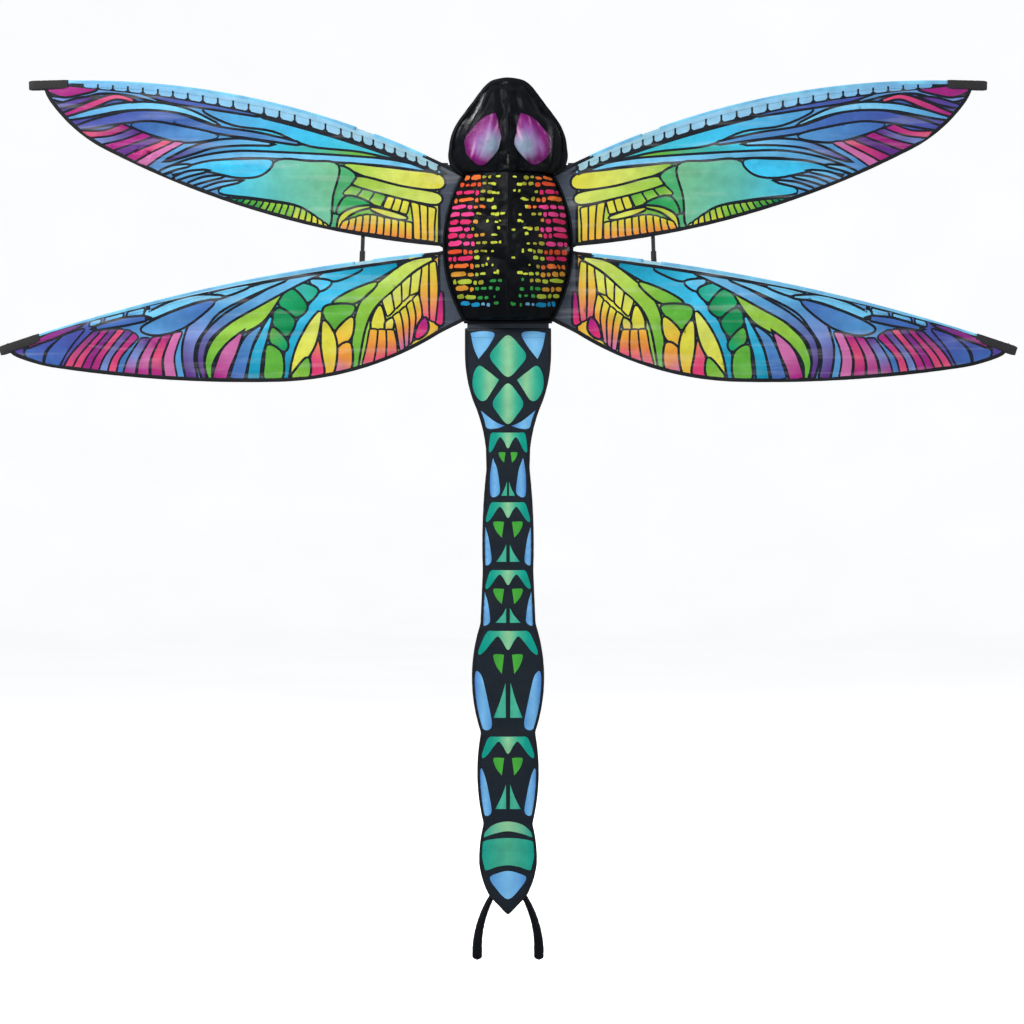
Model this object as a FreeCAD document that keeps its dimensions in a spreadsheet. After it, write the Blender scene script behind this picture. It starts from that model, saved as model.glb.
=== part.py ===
import FreeCAD, Part
import math
import operator
import os
import Sketcher
from FreeCAD import Placement, Rotation, Vector

# A dragonfly kite with a domed head and thorax, four rod-edged wings, a long flat abdomen and two
# soft claspers at its tail. The kite stands upright: +X is its left wing as it faces the flyer
# (the right-hand side of a front view), +Y points to its back and +Z to its head. The origin is the
# centre of the tow eyelet that stands out of the neck. All lengths are millimetres.

# ---------------------------------------------------------------------------------------------
# Driving dimensions: alias, value, meaning
# ---------------------------------------------------------------------------------------------
DIMENSIONS = (
    ("sail_front", 61.8, "front face of the flat sails, behind the eyelet"),
    ("cloth", 0.8, "thickness of a sail"),
    ("tape_width", 6, "width of the tape bound round a wing"),
    ("tape_front", 0.4, "how far a tape stands ahead of the sail's face"),
    ("tape_back", 1.2, "how far a tape reaches behind the sail's face"),
    ("frame_depth", 6.4, "wing spars and spreaders, behind the sail's face"),
    ("spine_depth", 11, "spine and abdomen rods, behind the sail's face"),
    ("spar_radius", 2, "radius of the wing spars and the spreaders"),
    ("spine_radius", 2.5, "radius of the spine and the upper abdomen rod"),
    ("sleeve_radius", 4.6, "outside of a spar sleeve"),
    ("sleeve_bore", 3.8, "inside of a spar sleeve"),
    ("hinge_x", 118, "wing hinge axis, out from the middle"),
    ("hinge_gap", 2, "gap between the hinge axis and the cloth each side"),
    ("ear_radius", 5, "radius of a hinge's ears"),
    ("ear_inner", 3.2, "inner face of an ear, from the hinge's middle"),
    ("ear_outer", 7, "outer face of an ear, from the hinge's middle"),
    ("tongue_half", 2.9, "half the thickness of a hinge's tongue"),
    ("fork_length", 12, "hinge axis to the root of the fork"),
    ("fork_slot", 7, "hinge axis to the bottom of the fork's slot"),
    ("arm_length", 14, "hinge axis to the end of the tongue's arm"),
    ("arm_half", 4, "half the width of the tongue's arm"),
    ("socket_start", 10, "hinge axis to the near end of a rod socket"),
    ("socket_end", 28, "hinge axis to the mouth of a rod socket"),
    ("socket_wall", 2.1, "wall of a rod socket"),
    ("socket_floor", 2, "closed end of a tongue's rod socket"),
    ("socket_slack", 0.1, "slack of a rod in its socket"),
    ("pin_radius", 1.5, "radius of a hinge pin"),
    ("pin_slack", 0.08, "running clearance of a tongue on its pin"),
    ("pin_head", 2.6, "radius of a pin's heads"),
    ("pin_half", 8, "half the length of a pin"),
    ("fore_bow_x", 748, "centre of the forewing spar's bow"),
    ("fore_bow_z", -1291, "centre of the forewing spar's bow"),
    ("fore_bow_radius", 1435, "radius of the forewing spar's bow"),
    ("hind_bow_x", -186, "centre of the hindwing spar's bow"),
    ("hind_bow_z", -3431, "centre of the hindwing spar's bow"),
    ("hind_bow_radius", 3287, "radius of the hindwing spar's bow"),
    ("edge_offset", 6.2, "leading edge of a sail, ahead of its spar"),
    ("wing_inner_x", 100, "inner end of a wing outline, before it is trimmed"),
    ("root_panel_width", 18, "width of the dark panel at a wing's root"),
    ("fore_spar_x", 840, "tip of the forewing spar"),
    ("fore_edge_x", 820, "end of the forewing's leading edge"),
    ("fore_tip_x", 812, "lower corner of the forewing's tip"),
    ("fore_tip_z", 122, "lower corner of the forewing's tip"),
    ("fore_tip_radius", 268, "round of the forewing's tip"),
    ("fore_belly_x", 700, "where the tip's round meets the trailing edge"),
    ("fore_belly_z", 24, "where the tip's round meets the trailing edge"),
    ("fore_trail_radius", 1573, "curve of the forewing's trailing edge"),
    ("fore_inner_z", -143, "inner end of the forewing's trailing edge"),
    ("fore_pocket_x", 811, "middle of the forewing's tip pocket"),
    ("fore_pocket_length", 70, "length of the forewing's tip pocket"),
    ("hind_spar_x", 893, "tip of the hindwing spar"),
    ("hind_edge_x", 886, "end of the hindwing's leading edge"),
    ("hind_tip_x", 872, "lower corner of the hindwing's tip"),
    ("hind_tip_z", -335, "lower corner of the hindwing's tip"),
    ("hind_tip_radius", 300, "round of the hindwing's tip"),
    ("hind_belly_x", 800, "where the tip's round meets the trailing edge"),
    ("hind_belly_z", -356, "where the tip's round meets the trailing edge"),
    ("hind_trail_radius", 2300, "curve of the hindwing's trailing edge"),
    ("hind_heel_x", 410, "lowest part of the hindwing"),
    ("hind_heel_z", -381, "lowest part of the hindwing"),
    ("hind_heel_radius", 560, "curve from there to the body"),
    ("hind_inner_z", -281, "inner end of the hindwing's trailing edge"),
    ("hind_pocket_x", 862, "middle of the hindwing's tip pocket"),
    ("hind_pocket_length", 75, "length of the hindwing's tip pocket"),
    ("pocket_half", 8.5, "half the width of a tip pocket"),
    ("pocket_front", 1.6, "front of a tip pocket, ahead of the sail's face"),
    ("pocket_back", 9.4, "back of a tip pocket, behind the sail's face"),
    ("strut_fore_x", 250, "strut's place on the forewing spar"),
    ("strut_hind_x", 258, "strut's place on the hindwing spar"),
    ("strut_radius", 3.6, "radius of a wing strut"),
    ("strut_socket", 5, "outside of a strut connector's socket"),
    ("strut_socket_end", 24, "spar axis to the mouth of that socket"),
    ("strut_socket_floor", 6, "spar axis to the floor of that socket"),
    ("clip_radius", 4.4, "outside of the strut connector on its spar"),
    ("clip_half", 9, "half the length of the strut connector on its spar"),
    ("sleeve_opening", 11, "half the opening of a sleeve at the strut"),
    ("sleeve_gap", 2, "gap between a hinge's socket and the sleeve"),
    ("overshoot", 5, "how far a bore's cutting rod runs past its piece"),
    ("space", 1000, "reach of the boxes that part one region from another"),
    ("head_top_z", 155, "top of the head"),
    ("dome_radius", 58.7, "round of the head's top"),
    ("dome_x", 45, "where that round ends"),
    ("dome_z", 134, "where that round ends"),
    ("brow_x", 87, "where the slope of the head ends"),
    ("brow_z", 78, "where the slope of the head ends"),
    ("cheek_radius", 90, "curve of the head's side"),
    ("cheek_x", 104, "widest place of the head"),
    ("cheek_z", 28, "widest place of the head"),
    ("jaw_radius", 36, "curve from there to the neck"),
    ("neck_x", 81, "half the width of the neck"),
    ("neck_z", -16, "height of the neck"),
    ("thorax_radius", 253, "curve of the thorax's side"),
    ("thorax_x", 76, "half the width of the thorax at its bottom"),
    ("thorax_z", -278, "bottom of the thorax"),
    ("head_band", 8, "width of the head's padded rim"),
    ("head_band_front", 3.4, "front of that rim, ahead of the sail's face"),
    ("thorax_band", 5, "width of the thorax's piping"),
    ("thorax_band_front", 1.2, "front of the piping, ahead of the sail's face"),
    ("hoop_width", 2, "width of the flat hoop inside the head's rim"),
    ("hoop_cover", 1, "padding ahead of the hoop and behind it"),
    ("gusset_drop", 2, "a fore gusset's corner below the neck"),
    ("gusset_rise", 8, "a hind gusset's lower corners, moved along the wing's root"),
    ("skin", 1.2, "thickness of the domed skins"),
    ("eye_cloth", 0.7, "thickness of an eye panel on the head"),
    ("eye_top_x", 22, "top of an eye"),
    ("eye_top_z", 92, "top of an eye"),
    ("eye_outer_x", 76, "outer corner of an eye"),
    ("eye_outer_z", 44, "outer corner of an eye"),
    ("eye_low_x", 46, "bottom of an eye"),
    ("eye_low_z", 1, "bottom of an eye"),
    ("eye_inner_x", 12, "inner side of an eye"),
    ("eye_inner_z", 40, "inner side of an eye"),
    ("eye_round", 70, "curve of an eye's outer side"),
    ("eye_hollow", 140, "hollow curve of an eye's inner side"),
    ("eye_lobe", 40, "curve of an eye's lower lobe"),
    ("cross_half", 8, "half the width of a cross connector"),
    ("cross_height", 7, "half the height of a cross connector"),
    ("cross_wall", 2.2, "wall of a cross connector about its rods"),
    ("tab_half_width", 10, "half the width of the tow tab"),
    ("tab_half", 1, "half the thickness of the tow tab"),
    ("tab_front", 7.5, "front of the tow tab, ahead of the eyelet"),
    ("tab_root", 16, "root of the tow tab, behind the eyelet"),
    ("eyelet_bore", 3, "radius of the eyelet's hole"),
    ("eyelet_barrel", 4.2, "radius of the eyelet's barrel"),
    ("eyelet_flange", 6, "radius of the eyelet's flanges"),
    ("eyelet_half", 1.5, "half the length of the eyelet"),
    ("webbing_half", 9, "half the width of a webbing pocket on the spine"),
    ("loop_half", 6, "half the width and height of a rod loop"),
    ("loop_wall", 1.2, "webbing behind a rod"),
    ("top_pocket_low", 118, "lower end of the spine's top pocket"),
    ("top_pocket_high", 145, "upper end of the spine's top pocket"),
    ("pocket_floor", 4, "closed end of a pocket"),
    ("abdomen_gap", 8, "abdomen's top edge below its hinge"),
    ("abdomen_band", 5, "width of the tape round the abdomen"),
    ("shoulder_x", 76, "half the width of the abdomen's top"),
    ("shoulder_z", -330, "where the abdomen starts to narrow"),
    ("shoulder_radius", 250, "curve of its shoulder"),
    ("flank_x", 62, "where the shoulder turns inwards"),
    ("flank_z", -413, "where the shoulder turns inwards"),
    ("flank_radius", 286, "hollow curve to the waist"),
    ("waist_x", 39, "top of the waist"),
    ("waist_z", -498, "top of the waist"),
    ("slim_x", 38, "narrowest place"),
    ("slim_z", -535, "narrowest place"),
    ("mid_radius", 1200, "curve of the middle segments"),
    ("mid_x", 44.5, "middle of the abdomen"),
    ("mid_z", -715, "middle of the abdomen"),
    ("barrel_x", 48.5, "top of the fifth segment's swelling"),
    ("barrel_z", -808, "top of the fifth segment's swelling"),
    ("barrel_radius", 302, "curve of that swelling"),
    ("sixth_x", 47.6, "top of the sixth segment"),
    ("sixth_z", -1000, "top of the sixth segment"),
    ("sixth_radius", 373, "curve of the sixth segment"),
    ("seventh_x", 43, "top of the seventh segment"),
    ("seventh_z", -1161, "top of the seventh segment"),
    ("seventh_radius", 250, "curve of the seventh segment"),
    ("tail_wide_x", 51, "widest place of the seventh segment"),
    ("tail_wide_z", -1230, "widest place of the seventh segment"),
    ("tail_round", 150, "curve from there to the tail"),
    ("tail_x", 32.6, "where the tail's point starts"),
    ("tail_z", -1288, "where the tail's point starts"),
    ("tail_end_z", -1322, "point of the tail"),
    ("joint_z", -806, "where the two abdomen rods meet"),
    ("lower_rod_radius", 2, "radius of the lower abdomen rod"),
    ("ferrule_radius", 4, "outside of the ferrule"),
    ("ferrule_half", 22, "half the length of the ferrule"),
    ("lower_rod_end", -1306, "end of the lower abdomen rod"),
    ("tail_pocket_low", -1310, "lower end of the tail pocket"),
    ("tail_pocket_high", -1282, "upper end of the tail pocket"),
    ("clasper_x", 27, "root of a clasper"),
    ("clasper_z", -1288, "root of a clasper"),
    ("clasper_depth", 8.2, "claspers, behind the sail's face"),
    ("clasper_end_x", 54.5, "lower end of a clasper"),
    ("clasper_bend_z", -1387, "where a clasper's bend ends"),
    ("clasper_end_z", -1394, "centre of a clasper's round end"),
    ("clasper_bow", 192, "radius of a clasper's bend"),
    ("clasper_top", 4.8, "radius of a clasper at its root"),
    ("clasper_tip", 9.2, "radius of a clasper at its end"),
    ("holder_inner_x", 15, "inner side of a clasper's holder"),
    ("holder_outer_x", 21, "outer side of a clasper's holder"),
    ("holder_half", 4, "half the height of a clasper's holder"),
    ("holder_back", 3, "back of a clasper's holder, behind its pin"),
    ("clasper_pin_end", 31, "outer end of the pin in a clasper's root"),
)
SEAM_HEIGHTS = (-466, -589, -709, -1002, -1152)  # where the abdomen's rod loops are sewn

# The domed skins are lofted through these sections: height, half width, rise ahead of the sails.
HEAD_SECTIONS = ((-16, 71, 47), (14, 90, 50), (45, 91.5, 52), (78, 76, 44), (110, 52, 30), (140, 25, 10))
THORAX_SECTIONS = ((-16, 47), (-60, 56), (-110, 61), (-157, 61), (-205, 56), (-250, 43), (-272, 25))

doc = FreeCAD.newDocument("DragonflyKite")
sheet = doc.addObject("Spreadsheet::Sheet", "Sizes")
for row, (alias, number, meaning) in enumerate(DIMENSIONS, start=1):
    sheet.set(f"A{row}", meaning)
    sheet.set(f"B{row}", str(number))
    sheet.setAlias(f"B{row}", alias)
for section, (height, half_width, rise) in enumerate(HEAD_SECTIONS, start=1):
    row = len(DIMENSIONS) + section
    for column, word, number in zip("BCD", ("height", "width", "rise"), (height, half_width, rise)):
        sheet.set(f"{column}{row}", str(number))
        sheet.setAlias(f"{column}{row}", f"head_{word}_{section}")
for section, (height, rise) in enumerate(THORAX_SECTIONS, start=1):
    row = len(DIMENSIONS) + len(HEAD_SECTIONS) + section
    for column, word, number in zip("BC", ("height", "rise"), (height, rise)):
        sheet.set(f"{column}{row}", str(number))
        sheet.setAlias(f"{column}{row}", f"thorax_{word}_{section}")
doc.recompute()

# ---------------------------------------------------------------------------------------------
# Sizes that carry their own spreadsheet formula
# ---------------------------------------------------------------------------------------------
OPERATORS = {"+": operator.add, "-": operator.sub, "*": operator.mul, "/": operator.truediv}


class Size:
    """A number together with the expression that gives it from the sheet's cells."""

    def __init__(self, number, formula):
        self.number = float(number)
        self.formula = formula

    def __add__(self, other):
        return combine(self, "+", other)

    def __radd__(self, other):
        return combine(other, "+", self)

    def __sub__(self, other):
        return combine(self, "-", other)

    def __rsub__(self, other):
        return combine(other, "-", self)

    def __mul__(self, other):
        return combine(self, "*", other)

    def __rmul__(self, other):
        return combine(other, "*", self)

    def __truediv__(self, other):
        return combine(self, "/", other)

    def __neg__(self):
        return combine(0, "-", self)


def size(value):
    return value if isinstance(value, Size) else Size(value, repr(value))


def combine(left, sign, right):
    left, right = size(left), size(right)
    number = OPERATORS[sign](left.number, right.number)
    return Size(number, f"({left.formula} {sign} {right.formula})")


def root(value):
    return Size(math.sqrt(value.number), f"sqrt({value.formula})")


def arc_cosine(value):
    return Size(math.degrees(math.acos(value.number)), f"acos({value.formula})")


def cell(alias):
    return Size(sheet.get(alias), f"Sizes.{alias}")


def bind(thing, **sizes):
    for name, value in sizes.items():
        thing.setExpression(name, size(value).formula)


def place(thing, x, y, z, rotation=Rotation()):
    """Puts a thing at a point that stays bound to the sheet."""
    thing.Placement = Placement(Vector(size(x).number, size(y).number, size(z).number), rotation)
    for axis, value in zip("xyz", (x, y, z)):
        if isinstance(value, Size):
            thing.setExpression(f"Placement.Base.{axis}", value.formula)


# ---------------------------------------------------------------------------------------------
# Sketches
# ---------------------------------------------------------------------------------------------
def bulge_point(start, end, radius, side):
    """The middle of the arc from start to end that bulges to the left (side 1) or right (-1)."""
    chord = end - start
    half = chord.Length / 2
    rise = radius - math.sqrt(max(radius * radius - half * half, 0))
    across = Vector(-chord.y, chord.x, 0).normalize()
    return (start + end) / 2 + across * (rise * side)


def draw(sketch, corners, edges):
    """Draws a closed profile whose every size is bound to the sheet.

    corners are (x, y) sizes. edges[i] joins corner i to the next: None is a straight line,
    (radius, side) an arc through both corners, and (centre x, centre y, radius) an arc about a fixed
    centre, whose corners give only x and lie above that centre.
    """
    points = []
    for number, (x, y) in enumerate(corners):
        if y is None:
            bow = next(e for e in (edges[number], edges[number - 1]) if e is not None and len(e) == 3)
            y = bow[1] + root(bow[2] * bow[2] - (x - bow[0]) * (x - bow[0]))
            corners[number] = (x, None)
        points.append(Vector(size(x).number, size(y).number, 0))
    bindings = []

    def constrain(kind, *where, value):
        index = sketch.addConstraint(Sketcher.Constraint(kind, *where, size(value).number))
        bindings.append((index, value))

    ends = []
    for number, edge in enumerate(edges):
        start, end = points[number], points[(number + 1) % len(points)]
        if edge is None:
            geometry = sketch.addGeometry(Part.LineSegment(start, end), False)
        elif len(edge) == 2:
            middle = bulge_point(start, end, size(edge[0]).number, edge[1])
            geometry = sketch.addGeometry(Part.Arc(start, middle, end), False)
        else:
            centre = Vector(edge[0].number, edge[1].number, 0)
            middle = ((start + end) / 2 - centre).normalize() * edge[2].number + centre
            geometry = sketch.addGeometry(Part.Arc(start, middle, end), False)
        first = 1 if sketch.getPoint(geometry, 1).distanceToPoint(start) < 1e-6 else 2
        ends.append((geometry, first, 3 - first))
    for number, edge in enumerate(edges):
        geometry, first, _ = ends[number]
        before, _, last = ends[number - 1]
        sketch.addConstraint(Sketcher.Constraint("Coincident", before, last, geometry, first))
        x, y = corners[number]
        constrain("DistanceX", -1, 1, geometry, first, value=x)
        if y is not None:
            constrain("DistanceY", -1, 1, geometry, first, value=y)
        if edge is not None:
            constrain("Radius", geometry, value=edge[-1] if len(edge) == 3 else edge[0])
        if edge is not None and len(edge) == 3:
            constrain("DistanceX", -1, 1, geometry, 3, value=edge[0])
            constrain("DistanceY", -1, 1, geometry, 3, value=edge[1])
    for index, value in bindings:
        if isinstance(value, Size):
            sketch.setExpression(f"Constraints[{index}]", value.formula)
    return sketch


def draw_circle(sketch, x, y, radius):
    centre = Vector(size(x).number, size(y).number, 0)
    circle = sketch.addGeometry(Part.Circle(centre, Vector(0, 0, 1), size(radius).number), False)
    for kind, where, value in (
        ("DistanceX", (-1, 1, circle, 3), x),
        ("DistanceY", (-1, 1, circle, 3), y),
        ("Radius", (circle,), radius),
    ):
        index = sketch.addConstraint(Sketcher.Constraint(kind, *where, size(value).number))
        if isinstance(value, Size):
            sketch.setExpression(f"Constraints[{index}]", value.formula)
    return sketch


def draw_rectangle(sketch, left, right, low, high):
    return draw(sketch, [(left, low), (right, low), (right, high), (left, high)], [None] * 4)


def upright_sketch(name, corners, edges):
    """A sketch in the plane of the sails' front faces: its own x and y are the kite's X and Z."""
    sketch = doc.addObject("Sketcher::SketchObject", name)
    place(sketch, 0, SAIL_FRONT, 0, Rotation(Vector(1, 0, 0), 90))
    return draw(sketch, corners, edges)


# ---------------------------------------------------------------------------------------------
# Solids
# ---------------------------------------------------------------------------------------------
nodes = {}


def node(name, thing):
    """Gives a finished sub-part its name."""
    thing.Label = name
    nodes[name] = thing
    return thing


def slab(name, face, front, back):
    """A flat profile drawn out along Y, from front ahead of its plane to back behind it."""
    solid = doc.addObject("Part::Extrusion", name)
    solid.Base = face
    solid.DirMode = "Custom"
    solid.Dir = Vector(0, 1, 0)
    solid.Solid = True
    bind(solid, LengthFwd=back, LengthRev=front)
    return solid


def inset(name, profile, width, band):
    """The profile drawn in by width, or with band the strip that this takes away."""
    drawn_in = doc.addObject("Part::Offset2D", name)
    drawn_in.Source = profile
    drawn_in.Fill = band
    bind(drawn_in, Value=-width)
    return drawn_in


def cut(name, base, tool):
    result = doc.addObject("Part::Cut", name)
    result.Base = base
    result.Tool = tool
    return result


def common(name, base, tool):
    result = doc.addObject("Part::Common", name)
    result.Base = base
    result.Tool = tool
    return result


def fuse(name, *things):
    result = doc.addObject("Part::MultiFuse", name)
    result.Shapes = list(things)
    return result


def group(name, *things):
    """Separate solids that share one node."""
    result = doc.addObject("Part::Compound", name)
    result.Links = list(things)
    return result


def mirror(name, thing):
    """The same piece on the other side of the kite."""
    result = doc.addObject("Part::Mirroring", name)
    result.Source = thing
    result.Normal = Vector(1, 0, 0)
    return result


def box(name, left, right, front, back, low, high):
    solid = doc.addObject("Part::Box", name)
    bind(solid, Length=right - left, Width=back - front, Height=high - low)
    place(solid, left, front, low)
    return solid


def cylinder(name, radius, height, x, y, z, rotation=Rotation()):
    """A cylinder that starts at a point and runs along its own Z."""
    solid = doc.addObject("Part::Cylinder", name)
    bind(solid, Radius=radius, Height=height)
    place(solid, x, y, z, rotation)
    return solid


def new_body(name):
    return doc.addObject("PartDesign::Body", name)


def body_sketch(body, name, role):
    """A sketch on one of the body's own origin planes."""
    sketch = body.newObject("Sketcher::SketchObject", name)
    plane = next(f for f in body.Origin.OriginFeatures if f.Role == role)
    sketch.AttachmentSupport = [(plane, "")]
    sketch.MapMode = "FlatFace"
    return sketch


def pad(body, name, sketch, length, symmetric=False):
    feature = body.newObject("PartDesign::Pad", name)
    feature.Profile = sketch
    feature.SideType = "Symmetric" if symmetric else "One side"
    bind(feature, Length=length)
    sketch.Visibility = False
    return feature


def pocket(body, name, sketch, depth, symmetric=False):
    """A pocket cut along its sketch's normal."""
    feature = body.newObject("PartDesign::Pocket", name)
    feature.Profile = sketch
    feature.SideType = "Symmetric" if symmetric else "One side"
    feature.Reversed = True
    bind(feature, Length=depth)
    sketch.Visibility = False
    return feature


def revolved_body(name, corners):
    """A body turned about its own Z axis from a profile of (radius, height) corners."""
    body = new_body(name)
    profile = draw(body_sketch(body, f"{name}Profile", "XZ_Plane"), corners, [None] * len(corners))
    feature = body.newObject("PartDesign::Revolution", f"{name}Turned")
    feature.Profile = profile
    feature.ReferenceAxis = (profile, ["V_Axis"])
    feature.Angle = 360
    return body


# ---------------------------------------------------------------------------------------------
# Places that several pieces share
# ---------------------------------------------------------------------------------------------
SAIL_FRONT = cell("sail_front")
FRAME_Y = SAIL_FRONT + cell("frame_depth")
SPINE_Y = SAIL_FRONT + cell("spine_depth")
HINGE_X = cell("hinge_x")
ABDOMEN_HINGE_Z = cell("thorax_z")
SPAR_BORE = cell("spar_radius") + cell("socket_slack")
ALONG_X = Rotation(Vector(0, 1, 0), 90)


class Bow:
    """The circle that a wing's spar is bent to."""

    def __init__(self, wing):
        self.x = cell(f"{wing}_bow_x")
        self.z = cell(f"{wing}_bow_z")
        self.radius = cell(f"{wing}_bow_radius")

    def height(self, x):
        return self.z + root(self.radius * self.radius - (x - self.x) * (x - self.x))

    def angle(self, x):
        return arc_cosine((x - self.x) / self.radius)

    def outward(self, x):
        """The spar's direction at x, towards the wing's tip."""
        turn = math.radians(self.angle(x).number)
        return Vector(math.sin(turn), 0, -math.cos(turn))

    def square(self, x):
        """The rotation that lays a piece's own X along the spar and leaves its Y alone."""
        along = self.outward(x)
        return Rotation(Vector(0, 1, 0), math.degrees(math.atan2(-along.z, along.x)))


def bowed_rod(name, bow, inner_x, outer_x, radius):
    """A round rod bent to the bow, between two distances out from the middle."""
    rod = doc.addObject("Part::Torus", name)
    bind(rod, Radius1=bow.radius, Radius2=radius, Angle3=bow.angle(inner_x) - bow.angle(outer_x))
    turn = math.radians(bow.angle(outer_x).number)
    start = Vector(math.cos(turn), 0, math.sin(turn))
    onwards = Vector(-math.sin(turn), 0, math.cos(turn))
    place(rod, bow.x, FRAME_Y, bow.z, Rotation(start, onwards, Vector(0, -1, 0)))
    return rod


# ---------------------------------------------------------------------------------------------
# Hinges: a fork on the inner rod's end, a tongue on the outer rod's end, and a pin
# ---------------------------------------------------------------------------------------------
def fork(name, rod_radius, x, y, z, rotation):
    """A fork whose hinge axis is its own Z and whose rod socket runs along its own -X."""
    ear, outer, inner = cell("ear_radius"), cell("ear_outer"), cell("ear_inner")
    length, slot = cell("fork_length"), cell("fork_slot")
    reach = cell("socket_end") - cell("fork_slot")
    wall = rod_radius + cell("socket_wall")
    blank = fuse(
        f"{name}Blank",
        cylinder(f"{name}Round", ear, outer * 2, 0, 0, -outer),
        box(f"{name}Cheeks", -length, 0, -ear, ear, -outer, outer),
        cylinder(f"{name}Socket", wall, reach, -cell("socket_end"), 0, 0, ALONG_X),
    )
    tools = fuse(
        f"{name}Cuts",
        box(f"{name}Slot", -slot, ear * 2, -ear * 2, ear * 2, -inner, inner),
        cylinder(f"{name}PinHole", cell("pin_radius"), outer * 4, 0, 0, outer * -2),
        cylinder(
            f"{name}Bore",
            rod_radius + cell("socket_slack"),
            cell("socket_end") - length,
            -cell("socket_end"),
            0,
            0,
            ALONG_X,
        ),
    )
    piece = cut(name, blank, tools)
    place(piece, x, y, z, rotation)
    return piece


def tongue(name, rod_radius, tilt):
    """A tongue about its own Z axis; its rod socket points along its own X, tilted up by tilt."""
    ear, half, arm = cell("ear_radius"), cell("tongue_half"), cell("arm_half")
    start, end = cell("socket_start"), cell("socket_end")
    away = Vector(math.cos(math.radians(tilt)), 0, math.sin(math.radians(tilt)))
    lie = Rotation(Vector(0, 0, 1), away)
    wall = rod_radius + cell("socket_wall")
    blank = fuse(
        f"{name}Blank",
        cylinder(f"{name}Round", ear, half * 2, 0, 0, -half),
        box(f"{name}Arm", 0, cell("arm_length"), -arm, arm, -half, half),
        cylinder(f"{name}Socket", wall, end - start, start * away.x, 0, start * away.z, lie),
    )
    floor = start + cell("socket_floor")
    bore = rod_radius + cell("socket_slack")
    pin_bore = cell("pin_radius") + cell("pin_slack")
    tools = fuse(
        f"{name}Cuts",
        cylinder(f"{name}Bore", bore, end - start, floor * away.x, 0, floor * away.z, lie),
        cylinder(f"{name}PinHole", pin_bore, half * 4, 0, 0, half * -2),
    )
    return cut(name, blank, tools)


def pin(name, x, y, z, rotation=Rotation()):
    shank, head = cell("pin_radius"), cell("pin_head")
    half, ear = cell("pin_half"), cell("ear_outer")
    corners = [(0, -half), (head, -half), (head, -ear), (shank, -ear)]
    corners += [(shank, ear), (head, ear), (head, half), (0, half)]
    body = revolved_body(name, corners)
    place(body, x, y, z, rotation)
    return body


# ---------------------------------------------------------------------------------------------
# Wings
# ---------------------------------------------------------------------------------------------
WINGS = ("fore", "hind")
BOWS = {wing: Bow(wing) for wing in WINGS}
CLOTH_START_X = HINGE_X + cell("hinge_gap")


def wing_outline(wing):
    bow = BOWS[wing]
    lead = (bow.x, bow.z, bow.radius + cell("edge_offset"))
    corners = [(cell("wing_inner_x"), None), (cell(f"{wing}_edge_x"), None)]
    corners += [(cell(f"{wing}_{place}_x"), cell(f"{wing}_{place}_z")) for place in ("tip", "belly")]
    edges = [lead, None, (cell(f"{wing}_tip_radius"), 1), (cell(f"{wing}_trail_radius"), 1)]
    if wing == "hind":
        corners.append((cell("hind_heel_x"), cell("hind_heel_z")))
        edges.append((cell("hind_heel_radius"), 1))
    corners.append((cell("wing_inner_x"), cell(f"{wing}_inner_z")))
    edges.append(None)
    return upright_sketch(f"{wing.title()}wingOutline", corners, edges)


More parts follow.
